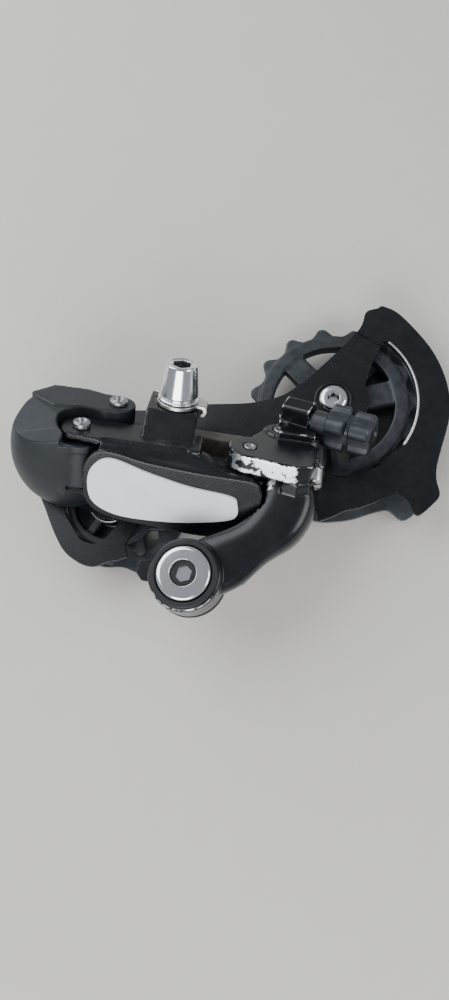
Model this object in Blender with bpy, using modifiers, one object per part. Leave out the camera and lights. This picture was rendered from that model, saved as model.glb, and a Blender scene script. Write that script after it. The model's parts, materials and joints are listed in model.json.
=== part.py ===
"""Rear bicycle derailleur, long cage, slant parallelogram, at its real size.

Frame: the origin is on the mounting bolt's axis, in the plane where the stopper
plate seats on the frame's hanger. +Z points outboard along that bolt, +X towards
the rear of the bike, and +Y towards the ground when the part is on a bike.
Lengths are in millimetres and turn into metres where vertices are made.
"""
import math

import bmesh
import bpy
from mathutils import Matrix, Vector

MM = 0.001
ROUND = 24                      # sides of a turned piece
SMALL_ROUND = 12                # sides of a pin or screw

# Mounting boss
BOSS_R = 12.6
BOSS_Z = (1.8, 15.6)
BOLT_HEAD_R = 9.3
BOLT_HEAD_Z = (15.9, 18.5)
BOLT_R = 5.0

# Parallelogram: u runs along the links, v inboard across them, p along the pins
LINK_ORIGIN = Vector((-34.6, 51.7, 26.0))
PIN_TILT = math.radians(48.0)   # slant of the pins away from the mounting bolt
PIN_YAW = math.radians(12.0)
LINK_LENGTH = 58.5
P_OUT = Vector((0.0, 0.0))
P_IN = Vector((10.0, 14.0))
B_OUT = P_OUT + Vector((LINK_LENGTH, 0.0))
B_IN = P_IN + Vector((LINK_LENGTH, 0.0))
PIN_R = 2.2
BARREL_R = 6.2
KNUCKLE_BARREL_R = 7.0
LOWER_EAR_P = (-25.0, -22.5)
TOP_FLANGE_P = (-4.0, -1.6)
STEPPED_FLANGE_P = (-10.0, -7.4)
WALL_V = (-10.0, -7.0)
CLAMP_UV = Vector((31.1, 14.6))
CLAMP_SEAT_P = 5.2

# Chain cage
CAGE_AXIS = Vector((-47.0, 48.5))
GUIDE_AXIS = Vector((-33.0, 33.2))
TENSION_AXIS = Vector((52.9, 70.2))
OUTER_PLATE_Z = (-8.8, -7.2)
INNER_PLATE_Z = (-19.0, -17.4)
PULLEY_Z = -13.1
CHAIN_PITCH = 12.7
GUIDE_TEETH = 11
TENSION_TEETH = 15
GUIDE_TOOTH = (3.9, 1.5)         # root below and tip above the pitch circle
TENSION_TOOTH = (1.4, 2.0)
GUIDE_RIM = (14.2, 17.4)         # radii of the thick rim inside the teeth
TENSION_RIM = (23.4, 28.6)
KNUCKLE_BASE_Z = -6.6

# Screw that sets the body's angle: its tip meets the stopper plate's tab
TENSION_SCREW_TIP = Vector((19.4, 3.2, 0.7))
TENSION_SCREW_DIR = Vector((0.5, 0.87, 0.0))

# Limit screws: one post above the other, heads towards the mounting bolt
LIMIT_START = Vector((46.2, 48.0))
LIMIT_DIR = Vector((-0.139, -1.0, 0.0))
LIMIT_SCREW_Z = {"limit_screw_high": 6.0, "limit_screw_low": -0.4}
LIMIT_POST_R = 3.5
LIMIT_POST_LENGTH = 9.6

# Cable adjuster axis, from the face of its stop towards the knob
ADJUSTER_FOOT = Vector((35.0, 60.5, 3.5))
ADJUSTER_DIR = Vector((30.0, -12.0, 6.0)).normalized()


# ---------------------------------------------------------------- frames
def axes_frame(origin, x_axis, z_axis):
    """Matrix of a frame in metres with the given X and Z directions."""
    z_unit = z_axis.normalized()
    y_unit = z_unit.cross(x_axis).normalized()
    x_unit = y_unit.cross(z_unit)
    basis = Matrix((x_unit, y_unit, z_unit)).transposed().to_4x4()
    return Matrix.Translation(origin * MM) @ basis


PIN_AXIS = Vector((
    math.sin(PIN_YAW),
    math.cos(PIN_YAW) * math.cos(PIN_TILT),
    math.cos(PIN_YAW) * math.sin(PIN_TILT),
))
LINK_X = Vector((
    math.cos(PIN_YAW),
    -math.sin(PIN_YAW) * math.cos(PIN_TILT),
    -math.sin(PIN_YAW) * math.sin(PIN_TILT),
))
ROW = Matrix.Identity(4)
LINK = axes_frame(LINK_ORIGIN, LINK_X, PIN_AXIS)
ADJUSTER = axes_frame(ADJUSTER_FOOT, Vector((0.0, 0.0, 1.0)), ADJUSTER_DIR)
TENSION_SCREW = axes_frame(TENSION_SCREW_TIP, Vector((0.0, 0.0, 1.0)), TENSION_SCREW_DIR)


def at_row(x, y, z=0.0):
    return Matrix.Translation(Vector((x, y, z)) * MM)


def at_link(uv, level=0.0):
    return LINK @ Matrix.Translation(Vector((uv[0], uv[1], level)) * MM)


# ---------------------------------------------------------------- scene helpers
def clear_scene():
    for item in list(bpy.data.objects):
        bpy.data.objects.remove(item, do_unlink=True)


def collection(name, hidden=False):
    group = bpy.data.collections.new(name)
    bpy.context.scene.collection.children.link(group)
    group.hide_render = hidden
    return group


clear_scene()
PARTS = collection("rear_derailleur")
CUTTERS = collection("cutters", hidden=True)


def material(name, colour, roughness, metallic):
    made = bpy.data.materials.new(name)
    made.use_nodes = True
    shader = made.node_tree.nodes["Principled BSDF"]
    shader.inputs["Base Color"].default_value = (*colour, 1.0)
    shader.inputs["Roughness"].default_value = roughness
    shader.inputs["Metallic"].default_value = metallic
    return made


def mesh_object(name, mesh, matrix, group=None):
    made = bpy.data.objects.new(name, mesh)
    made.matrix_world = matrix
    (group or CUTTERS).objects.link(made)
    if group is None:
        made.hide_render = True
        made.display_type = "WIRE"
    return made


def finish(piece, name, look):
    """Move a built shape into the parts collection under its node's name."""
    if piece.name in CUTTERS.objects:
        CUTTERS.objects.unlink(piece)
        PARTS.objects.link(piece)
    piece.hide_render = False
    piece.display_type = "TEXTURED"
    piece.name = name
    piece.data.name = name
    piece.data.materials.clear()
    piece.data.materials.append(LOOKS[look])
    piece.data.shade_smooth()
    piece.data.set_sharp_from_angle(angle=math.radians(35.0))
    return piece


def boolean(target, tool, operation, solver):
    step = target.modifiers.new(operation.lower(), "BOOLEAN")
    step.operation = operation
    step.object = tool
    step.solver = solver
    return target


def join(target, *tools, solver="EXACT"):
    for tool in tools:
        boolean(target, tool, "UNION", solver)
    return target


def cut(target, *tools, solver="EXACT"):
    for tool in tools:
        boolean(target, tool, "DIFFERENCE", solver)
    return target


# ---------------------------------------------------------------- shapes
def turned(profile, matrix, steps=ROUND, closed=False):
    """Screw a half profile of (radius, height) pairs, outer side top to bottom."""
    mesh = bpy.data.meshes.new("profile")
    points = [(radius * MM, 0.0, height * MM) for radius, height in profile]
    edges = [(i, i + 1) for i in range(len(points) - 1)]
    if closed:
        edges.append((len(points) - 1, 0))
    mesh.from_pydata(points, edges, [])
    piece = mesh_object("turned", mesh, matrix)
    screw = piece.modifiers.new("turn", "SCREW")
    screw.steps = steps
    screw.render_steps = steps
    screw.use_merge_vertices = True
    screw.merge_threshold = 0.00001
    return piece


def rod(radius, low, high, matrix, steps=SMALL_ROUND, chamfer=0.0):
    if chamfer <= 0.0:
        profile = [(0.0, high), (radius, high), (radius, low), (0.0, low)]
    else:
        profile = [(0.0, high), (radius - chamfer, high), (radius, high - chamfer),
                   (radius, low + chamfer), (radius - chamfer, low), (0.0, low)]
    return turned(profile, matrix, steps)


def tube(outer, inner, low, high, matrix, steps=ROUND):
    profile = [(inner, high), (outer, high), (outer, low), (inner, low)]
    return turned(profile, matrix, steps, closed=True)


def prism(outline, low, high, matrix, holes=()):
    """Flat outline of (x, y) points, extruded from low to high along Z."""
    curve = bpy.data.curves.new("outline", "CURVE")
    curve.dimensions = "2D"
    curve.fill_mode = "BOTH"
    curve.extrude = 0.5 * (high - low) * MM
    for loop in (outline, *holes):
        spline = curve.splines.new("POLY")
        spline.points.add(len(loop) - 1)
        for point, (x, y) in zip(spline.points, loop):
            point.co = (x * MM, y * MM, 0.0, 1.0)
        spline.use_cyclic_u = True
    middle = Matrix.Translation((0.0, 0.0, 0.5 * (high + low) * MM))
    source = bpy.data.objects.new("outline", curve)
    source.matrix_world = matrix @ middle
    CUTTERS.objects.link(source)
    bpy.context.view_layer.update()
    depsgraph = bpy.context.evaluated_depsgraph_get()
    mesh = bpy.data.meshes.new_from_object(source.evaluated_get(depsgraph))
    world = source.matrix_world.copy()
    bpy.data.objects.remove(source, do_unlink=True)
    shell = bmesh.new()
    shell.from_mesh(mesh)
    bmesh.ops.remove_doubles(shell, verts=shell.verts, dist=0.000002)
    bmesh.ops.recalc_face_normals(shell, faces=shell.faces)
    shell.to_mesh(mesh)
    shell.free()
    return mesh_object("prism", mesh, world)


def box(low, high, matrix):
    size = [(high[i] - low[i]) * MM for i in range(3)]
    centre = [0.5 * (high[i] + low[i]) * MM for i in range(3)]
    shell = bmesh.new()
    place = Matrix.Translation(centre) @ Matrix.Diagonal((*size, 1.0))
    bmesh.ops.create_cube(shell, size=1.0, matrix=place)
    mesh = bpy.data.meshes.new("box")
    shell.to_mesh(mesh)
    shell.free()
    return mesh_object("box", mesh, matrix)


def hexagon(radius, low, high, matrix):
    outline = [polar(radius, 60.0 * i + 30.0) for i in range(6)]
    return prism(outline, low, high, matrix)


def polar(radius, degrees, centre=(0.0, 0.0)):
    angle = math.radians(degrees)
    return (centre[0] + radius * math.cos(angle), centre[1] + radius * math.sin(angle))


def arc(centre, radius, start, end, count):
    """Points on an arc, from the start to the end angle in degrees."""
    step = (end - start) / (count - 1)
    return [polar(radius, start + step * i, centre) for i in range(count)]


def circle(centre, radius, count=24):
    return [polar(radius, 360.0 * i / count, centre) for i in range(count)]


def smooth_loop(points, per_span=3):
    """Closed Catmull-Rom curve through the points."""
    count = len(points)
    loop = []
    for i in range(count):
        before, start = Vector(points[i - 1]), Vector(points[i])
        end, after = Vector(points[(i + 1) % count]), Vector(points[(i + 2) % count])
        for k in range(per_span):
            t = k / per_span
            place = 0.5 * (2.0 * start + (end - before) * t
                           + (2.0 * before - 5.0 * start + 4.0 * end - after) * t * t
                           + (3.0 * start - before - 3.0 * end + after) * t ** 3)
            loop.append(tuple(place))
    return loop


def loft(rings, matrix):
    """Close a skin over rings that all have the same number of points."""
    count = len(rings[0])
    points = [tuple(Vector(point) * MM) for ring in rings for point in ring]
    faces = [tuple(reversed(range(count)))]
    for row in range(len(rings) - 1):
        low, high = row * count, (row + 1) * count
        for i in range(count):
            j = (i + 1) % count
            faces.append((low + i, low + j, high + j, high + i))
    last = (len(rings) - 1) * count
    faces.append(tuple(range(last, last + count)))
    mesh = bpy.data.meshes.new("loft")
    mesh.from_pydata(points, [], faces)
    shell = bmesh.new()
    shell.from_mesh(mesh)
    bmesh.ops.recalc_face_normals(shell, faces=shell.faces)
    shell.to_mesh(mesh)
    shell.free()
    return mesh_object("loft", mesh, matrix)


def oval(centre, first, second, power, count=28):
    """Superellipse ring spanned by two half-axis vectors."""
    ring = []
    for i in range(count):
        angle = 2.0 * math.pi * i / count
        c, s = math.cos(angle), math.sin(angle)
        a = math.copysign(abs(c) ** (2.0 / power), c)
        b = math.copysign(abs(s) ** (2.0 / power), s)
        ring.append(tuple(centre + first * a + second * b))
    return ring


def coil(radius, wire, low, high, turns, matrix, per_turn=12):
    """Closed helical spring about Z, from low to high."""
    curve = bpy.data.curves.new("coil", "CURVE")
    curve.dimensions = "3D"
    curve.bevel_depth = 0.5 * wire * MM
    curve.bevel_resolution = 2
    curve.use_fill_caps = True
    total = int(turns * per_turn)
    spline = curve.splines.new("POLY")
    spline.points.add(total)
    for i, point in enumerate(spline.points):
        x, y = polar(radius, 360.0 * i / per_turn)
        height = low + (high - low) * i / total
        point.co = (x * MM, y * MM, height * MM, 1.0)
    piece = bpy.data.objects.new("coil", curve)
    piece.matrix_world = matrix
    CUTTERS.objects.link(piece)
    bpy.context.view_layer.update()
    depsgraph = bpy.context.evaluated_depsgraph_get()
    mesh = bpy.data.meshes.new_from_object(piece.evaluated_get(depsgraph))
    bpy.data.objects.remove(piece, do_unlink=True)
    shell = bmesh.new()
    shell.from_mesh(mesh)
    bmesh.ops.remove_doubles(shell, verts=shell.verts, dist=0.000002)
    bmesh.ops.recalc_face_normals(shell, faces=shell.faces)
    shell.to_mesh(mesh)
    shell.free()
    return mesh_object("coil", mesh, matrix)


LOOKS = {
    "black_paint": material("black_paint", (0.018, 0.019, 0.021), 0.32, 0.2),
    "knuckle_plastic": material("knuckle_plastic", (0.045, 0.052, 0.06), 0.42, 0.0),
    "black_steel": material("black_steel", (0.016, 0.017, 0.018), 0.38, 0.3),
    "chrome": material("chrome", (0.72, 0.72, 0.74), 0.18, 1.0),
    "steel": material("steel", (0.5, 0.5, 0.51), 0.32, 1.0),
    "spring_steel": material("spring_steel", (0.3, 0.3, 0.31), 0.35, 1.0),
    "pulley_plastic": material("pulley_plastic", (0.03, 0.032, 0.035), 0.5, 0.0),
    "adjuster_plastic": material("adjuster_plastic", (0.07, 0.08, 0.09), 0.45, 0.0),
    "dust_rubber": material("dust_rubber", (0.014, 0.014, 0.015), 0.6, 0.0),
    "name_silver": material("name_silver", (0.78, 0.8, 0.82), 0.28, 0.6),
}


# ---------------------------------------------------------------- mounting bolt
def build_mount():
    head_low, head_high = BOLT_HEAD_Z
    bolt = turned([
        (0.0, head_high - 1.9), (3.7, head_high - 1.9), (4.4, head_high),
        (BOLT_HEAD_R - 0.7, head_high), (BOLT_HEAD_R, head_high - 0.7),
        (BOLT_HEAD_R, head_low), (BOLT_R, head_low), (BOLT_R, -7.4),
        (BOLT_R - 0.9, -8.3), (0.0, -8.3),
    ], ROW)
    cut(bolt, hexagon(3.45, head_high - 6.0, head_high + 2.0, ROW))
    finish(bolt, "mounting_bolt", "chrome")

    finish(tube(6.6, BOLT_R + 0.3, 3.1, BOSS_Z[1] - 0.1, ROW), "mount_bushing", "steel")

    tab_left = [(-9.0, -1.0), (-17.6, 0.6), (-19.4, 3.2), (-18.6, 7.4), (-9.0, 8.6)]
    tab_right = [(9.0, -2.0), (18.6, -1.6), (22.2, 2.05), (17.4, 4.8), (9.0, 7.0)]
    stopper = tube(12.8, BOLT_R + 0.3, 0.0, 1.5, ROW)
    join(stopper, prism(tab_left, 0.05, 1.45, ROW), prism(tab_right, 0.05, 1.45, ROW))
    finish(stopper, "stopper_plate", "black_steel")

    clip = tube(7.4, BOLT_R + 0.3, 1.85, 2.75, ROW)
    cut(clip, box((-9.0, -2.2, 1.0), (0.0, 2.2, 3.5), ROW))
    finish(clip, "retaining_clip", "spring_steel")


# ---------------------------------------------------------------- bracket
def bracket_flare():
    """Smooth arm that sweeps from the boss up to the pivot lugs."""
    stations = [
        # centre x, y, half width, direction angle, z low, z high
        (1.0, 0.5, 10.0, 35.0, 2.4, 12.8),
        (11.5, 5.4, 10.6, 38.0, 2.2, 12.6),
        (22.5, 11.8, 8.4, 36.0, 1.4, 12.4),
        (30.6, 19.2, 10.2, 52.0, -2.6, 12.8),
        (34.8, 28.6, 10.4, 78.0, -4.8, 12.8),
        (33.8, 40.0, 7.8, 88.0, -5.2, 12.6),
        (34.4, 50.0, 6.6, 88.0, -5.0, 8.4),
    ]
    rings = []
    for x, y, half, heading, low, high in stations:
        side = Vector((math.sin(math.radians(heading)), -math.cos(math.radians(heading)), 0.0))
        centre = Vector((x, y, 0.5 * (low + high)))
        rings.append(oval(centre, side * half, Vector((0.0, 0.0, 0.5 * (high - low))), 3.2))
    return loft(rings, ROW)


def bracket_cheek():
    """Flat lug over both bracket pivots, square to the pins."""
    outline = arc(B_OUT, 7.2, 90.0, 270.0, 11)
    outline += [(66.0, -8.6), (75.0, -9.8), (80.0, -8.2), (82.2, -2.0), (82.6, 16.0)]
    outline += [(79.0, 19.6), (70.0, 20.2)]
    outline += arc(B_IN, 6.0, 95.0, 180.0, 6)
    return prism(outline, -6.6, 0.3, LINK)


def build_bracket():
    body = turned([(0.0, BOSS_Z[1]), (BOSS_R - 0.6, BOSS_Z[1]), (BOSS_R, BOSS_Z[1] - 0.6),
                   (BOSS_R, BOSS_Z[0]), (0.0, BOSS_Z[0])], ROW, steps=32)
    stop_outline = [(-5.4, -5.6), (2.0, -6.2), (6.6, -4.0), (6.9, 3.6), (3.0, 6.0), (-5.4, 5.6)]
    stop_barrel = prism(smooth_loop(stop_outline, 2), 0.0, 10.4, ADJUSTER)
    stop_foot = box((68.0, 8.0, -3.0), (81.0, 22.0, 3.6), LINK)
    limit_frames = [limit_frame(height) for height in LIMIT_SCREW_Z.values()]
    posts = [rod(LIMIT_POST_R, 0.0, LIMIT_POST_LENGTH, here, SMALL_ROUND, chamfer=0.6)
             for here in limit_frames]
    tension_lug = box((-3.0, -3.5, 3.6), (3.4, 3.0, 9.2), TENSION_SCREW)

    above_plane = box((30.0, -60.0, -0.1), (120.0, 60.0, 60.0), LINK)
    flare = cut(bracket_flare(), above_plane)
    swing = rod(13.0, -42.0, -6.9, at_link(B_OUT), 32)
    cut(flare, swing)

    barrel = rod(BARREL_R, -21.9, -10.8, at_link(B_OUT))
    barrel_web = box((58.5, -3.6, -21.7), (73.0, 5.0, -11.0), LINK)
    front_web = [(71.0, -9.0), (76.0, -10.2), (80.6, -8.4), (82.4, -2.0), (82.4, 10.0),
                 (73.0, 10.0), (72.4, -2.0)]
    front_web = prism(front_web, -17.0, -6.4, LINK)

    join(body, flare, bracket_cheek(), stop_foot, stop_barrel, *posts, tension_lug, front_web,
         barrel_web, barrel, solver="MANIFOLD")

    inner_swing = [polar(6.3, a, B_IN) for a in range(-110, 91, 20)]
    inner_swing += [polar(45.0, a, B_IN) for a in (122.0, 150.0, 184.0)]
    inner_swing += [polar(45.0, 195.0, B_IN)]
    cut(body,
        prism(inner_swing, -9.6, -3.1, LINK),
        prism(circle(P_OUT, 10.2, 28), BOSS_Z[0] - 1.0, 13.6, ROW),
        rod(6.9, 0.0, 20.0, ROW, ROUND),
        rod(PIN_R + 0.3, -30.0, 5.0, at_link(B_OUT)),
        rod(PIN_R + 0.1, -14.0, 5.0, at_link(B_IN)),
        rod(2.9, -1.0, 12.0, ADJUSTER),
        *[rod(2.0, -1.0, LIMIT_POST_LENGTH + 2.0, here) for here in limit_frames],
        *[rod(3.3, LIMIT_POST_LENGTH, LIMIT_POST_LENGTH + 8.0, here) for here in limit_frames],
        rod(2.3, -1.0, 12.0, TENSION_SCREW),
        rod(3.4, 9.2, 14.0, TENSION_SCREW),
        rod(5.0, 10.4, 40.0, ADJUSTER),
        rod(8.7, 16.2, 40.0, ADJUSTER, ROUND),
        solver="MANIFOLD")
    finish(body, "bracket_body", "black_paint")

    finish(tube(11.6, 9.7, BOLT_HEAD_Z[0], 17.2, ROW), "dust_ring", "dust_rubber")
    finish(coil(8.5, 1.7, 4.2, 12.4, 3.5, ROW, per_turn=10), "bracket_spring", "spring_steel")


def limit_frame(height):
    """Frame whose Z runs along the limit screw at this height, towards its head."""
    start = Vector((*LIMIT_START, height))
    return axes_frame(start, Vector((0.0, 0.0, 1.0)), LIMIT_DIR)


def screw(name, matrix, shank, head, look="steel"):
    """Cross-head screw along Z: shank and head are (radius, low, high)."""
    piece = turned([
        (0.0, head[2]), (head[0] - 0.5, head[2]), (head[0], head[2] - 0.5),
        (head[0], head[1]), (shank[0], head[1]), (shank[0], shank[1] + 0.4),
        (shank[0] - 0.4, shank[1]), (0.0, shank[1]),
    ], matrix, SMALL_ROUND)
    slot = 0.35
    reach = head[0] * 0.62
    cross = box((-reach, -slot, head[2] - 1.2), (reach, slot, head[2] + 1.0), matrix)
    bar = box((-slot, -reach, head[2] - 1.2), (slot, reach, head[2] + 1.0), matrix)
    cut(piece, join(cross, bar))
    return finish(piece, name, look)


def build_adjusters():
    head_low = LIMIT_POST_LENGTH + 0.5
    for name, height in LIMIT_SCREW_Z.items():
        screw(name, limit_frame(height), (1.7, 1.0, head_low), (2.9, head_low, head_low + 5.4))
    screw("b_tension_screw", TENSION_SCREW, (1.9, 0.7, 10.4), (3.0, 10.4, 12.8))

    sleeve = tube(2.6, 1.2, 1.0, 17.6, ADJUSTER, SMALL_ROUND)
    finish(sleeve, "adjuster_sleeve", "steel")

    knob = rod(4.5, 10.9, 33.4, ADJUSTER, ROUND)
    for low, high, mean, height in ((16.6, 24.1, 7.0, 1.2), (25.4, 33.2, 6.4, 1.0)):
        outline = []
        for i in range(32):
            angle = 360.0 * i / 32
            outline.append(polar(mean + height * math.cos(math.radians(4.0 * angle)), angle + 20.0))
        join(knob, prism(outline, low, high, ADJUSTER))
    join(knob, rod(5.5, 24.0, 25.5, ADJUSTER, ROUND))
    cut(knob, rod(3.95, 10.0, 16.2, ADJUSTER), rod(3.0, 15.0, 19.0, ADJUSTER),
        rod(1.6, 18.0, 36.0, ADJUSTER))
    finish(knob, "barrel_adjuster", "adjuster_plastic")
    finish(coil(3.4, 0.7, 11.3, 15.6, 3.0, ADJUSTER, per_turn=8), "adjuster_spring",
           "spring_steel")


# ---------------------------------------------------------------- links and pins
def build_outer_link():
    wall_outline = smooth_loop([
        (10.0, -4.2), (26.0, -6.4), (44.0, -7.5), (57.0, -7.5), (62.4, -8.3), (64.7, -11.8),
        (65.4, -18.5), (63.8, -26.4), (58.4, -31.4), (45.0, -33.4), (28.0, -32.2), (13.0, -31.0),
        (5.2, -26.6), (2.8, -18.0), (3.6, -9.4),
    ])
    upright = LINK @ Matrix.Rotation(math.radians(90.0), 4, "X")
    link = prism(wall_outline, -WALL_V[1], -WALL_V[0], upright)

    lower = arc(P_OUT, 7.2, 90.0, 235.0, 9) + [(6.0, -8.2), (56.0, -8.2)]
    lower += arc(B_OUT, 6.8, 270.0, 450.0, 11) + [(50.0, 4.6), (12.0, 4.6)]
    upper = arc(P_OUT, 7.2, 90.0, 235.0, 9) + [(6.0, -8.4), (42.0, -8.4), (42.0, 6.4)]
    step = [(37.0, -8.4), (56.0, -8.2)] + arc(B_OUT, 6.8, 270.0, 550.0, 15)
    step += [(50.9, -2.6), (44.0, -2.6), (42.4, 6.0), (37.0, 6.2)]
    riser = box((38.0, -8.3, -9.9), (41.8, 6.0, -1.8), LINK)
    wedge_side = [(-9.6, -8.2), (7.4, CLAMP_SEAT_P), (22.4, CLAMP_SEAT_P),
                  (22.4, -0.6), (4.0, -2.0), (-8.0, -9.8)]
    side_plane = LINK @ Matrix(((0, 0, 1, 0), (1, 0, 0, 0), (0, 1, 0, 0), (0, 0, 0, 1)))
    wedge = prism(wedge_side, 20.8, 38.6, side_plane)
    shoulder = [(-9.9, -12.0), (-9.9, -7.4), (-9.4, -5.0), (-8.0, -2.9), (-6.0, -1.7),
                (-2.0, -1.65), (-2.0, -3.9), (-5.4, -4.3), (-7.1, -6.4), (-7.1, -12.0)]
    low_shoulder = [(-9.9, -13.0), (-9.9, -10.0), (-9.0, -8.2), (-7.6, -7.5), (-3.0, -7.5),
                    (-3.0, -9.6), (-6.6, -9.8), (-7.1, -13.0)]
    shoulders = [prism(shoulder, 8.0, 46.5, side_plane), prism(low_shoulder, 44.0, 61.0, side_plane)]
    join(link, prism(lower, *LOWER_EAR_P, LINK), prism(upper, *TOP_FLANGE_P, LINK),
         prism(step, *STEPPED_FLANGE_P, LINK), riser, wedge, *shoulders)
    cut(link, rod(PIN_R + 0.3, -30.0, 5.0, at_link(P_OUT)),
        rod(PIN_R + 0.3, -30.0, 5.0, at_link(B_OUT)),
        rod(2.8, -6.0, 8.0, at_link(CLAMP_UV)))
    finish(link, "outer_link", "black_paint")

    badge = smooth_loop([
        (12.6, -6.4), (26.0, -10.0), (40.0, -13.0), (54.0, -14.4), (57.0, -17.0),
        (56.2, -23.4), (42.0, -27.4), (28.0, -29.0), (15.0, -28.6), (6.8, -24.4),
        (4.8, -16.4), (6.6, -10.0),
    ])
    finish(prism(badge, 10.3, 11.0, upright), "name_plate", "name_silver")


def build_clamp():
    seat = CLAMP_SEAT_P + 0.3
    here = at_link(CLAMP_UV, seat)
    plate = rod(7.5, 0.0, 1.5, here, ROUND)
    curled_ear = [(5.0, 0.05), (8.2, 0.05), (9.0, -0.4), (9.1, -1.4), (8.2, -2.2), (8.8, -3.3),
                  (10.2, -2.6), (10.8, -1.0), (10.5, 0.6), (9.4, 1.4), (5.0, 1.45)]
    on_edge = here @ Matrix.Rotation(math.radians(90.0), 4, "X")
    ear = prism(curled_ear, -3.2, 3.2, on_edge)
    tip = box((-9.6, -2.0, 0.05), (-5.0, 2.0, 1.4), here)
    cut(join(plate, ear, tip), rod(2.8, -1.0, 3.0, here))
    finish(plate, "cable_clamp_plate", "steel")

    bolt = turned([
        (0.0, 14.4), (4.9, 14.4), (5.4, 13.7), (7.0, 4.1), (6.2, 3.5), (6.2, 2.9),
        (7.2, 2.5), (7.2, 1.8), (2.4, 1.8), (2.4, -7.4), (0.0, -7.4),
    ], here, ROUND)
    cut(bolt, hexagon(2.9, 9.6, 16.0, here))
    finish(bolt, "cable_clamp_bolt", "chrome")


def build_inner_link():
    link = rod(5.8, -12.5, -4.9, at_link(P_IN))
    long_bar = box((P_IN.x - 1.3, 11.0, -12.4), (56.0, 17.0, -5.0), LINK)
    short_bar = box((50.0, 11.1, -9.2), (B_IN.x + 1.2, 16.9, -5.1), LINK)
    join(link, long_bar, short_bar, rod(5.0, -9.3, -3.4, at_link(B_IN)))
    cut(link, rod(PIN_R + 0.3, -20.0, 5.0, at_link(P_IN)))
    cut(link, rod(PIN_R + 0.3, -20.0, 5.0, at_link(B_IN)))
    finish(link, "inner_link", "black_steel")


def pin(name, uv, low, high, head):
    """Pivot pin along p; head is (radius, low, high) or None for a plain pin."""
    here = at_link(uv)
    profile = [(0.0, high - 0.5), (PIN_R * 0.5, high - 0.5), (PIN_R * 0.75, high)]
    if head:
        radius, seat, top = head
        profile = [(0.0, top - 1.1), (1.5, top - 1.1), (1.9, top), (radius - 0.3, top),
                   (radius, top - 0.3), (radius, seat), (PIN_R, seat)]
    else:
        profile += [(PIN_R - 0.2, high), (PIN_R, high - 0.2)]
    profile += [(PIN_R, low + 0.3), (PIN_R - 0.3, low), (0.0, low)]
    finish(turned(profile, here, SMALL_ROUND), name, "steel")


def build_pins():
    pin("pin_outer_knuckle", P_OUT, -25.6, 0.7, (3.1, -1.3, 0.7))
    pin("pin_outer_bracket", B_OUT, -25.6, 0.7, None)
    pin("pin_inner_knuckle", P_IN, -15.8, 4.0, (3.3, 2.3, 4.0))
    pin("pin_inner_bracket", B_IN, -12.4, 0.7, None)


def build_return_spring():
    along = LINK @ Matrix.Rotation(math.radians(90.0), 4, "Y")
    spot = along @ Matrix.Translation(Vector((16.2, -1.2, 0.0)) * MM)
    finish(coil(4.2, 1.4, 13.0, 46.0, 7.0, spot, per_turn=8), "return_spring", "spring_steel")


# ---------------------------------------------------------------- knuckle
def knuckle_skin():
    """Rounded knuckle: a round foot on the cage, a squarer top square to the pins."""
    z_unit = Vector((0.0, 0.0, 1.0))
    pins = PIN_AXIS
    levels = [
        # centre, lean from Z to the pins, half width, half depth, squareness
        (Vector((-47.0, 48.5, KNUCKLE_BASE_Z)), 0.0, 18.0, 18.0, 2.0),
        (Vector((-47.0, 48.5, -4.6)), 0.0, 18.4, 18.4, 2.0),
        (Vector((-47.4, 48.3, 3.0)), 0.15, 18.4, 18.0, 2.1),
        (Vector((-46.6, 50.2, 11.0)), 0.55, 17.6, 16.8, 2.4),
        (Vector((-44.2, 53.6, 18.6)), 0.9, 16.6, 15.6, 2.8),
        (Vector((-42.2, 56.0, 23.8)), 1.0, 14.6, 14.4, 3.0),
        (Vector((-41.6, 56.8, 25.4)), 1.0, 12.8, 13.2, 3.0),
    ]
    rings = []
    for centre, lean, half_u, half_v, power in levels:
        normal = (z_unit * (1.0 - lean) + pins * lean).normalized()
        first = Vector((1.0, 0.0, 0.0)) * (1.0 - lean) + LINK_X * lean
        first = (first - normal * first.dot(normal)).normalized()
        second = normal.cross(first)
        rings.append(oval(centre, first * half_u, second * half_v, power, 32))
    return loft(rings, ROW)


def swing_outline(radius, end):
    """Space that the outer link sweeps round the knuckle pivot, at this radius up to end."""
    outline = arc(P_OUT, radius, 90.0, end, 12)
    outline += [polar(10.9, a) for a in (238.0, 244.0, 252.0)]
    far = Vector(polar(10.9, 252.0)) + Vector(polar(60.0, -45.0))
    return outline + [tuple(far), (60.0, -30.0), (60.0, 7.4), (6.0, 7.4)]


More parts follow.
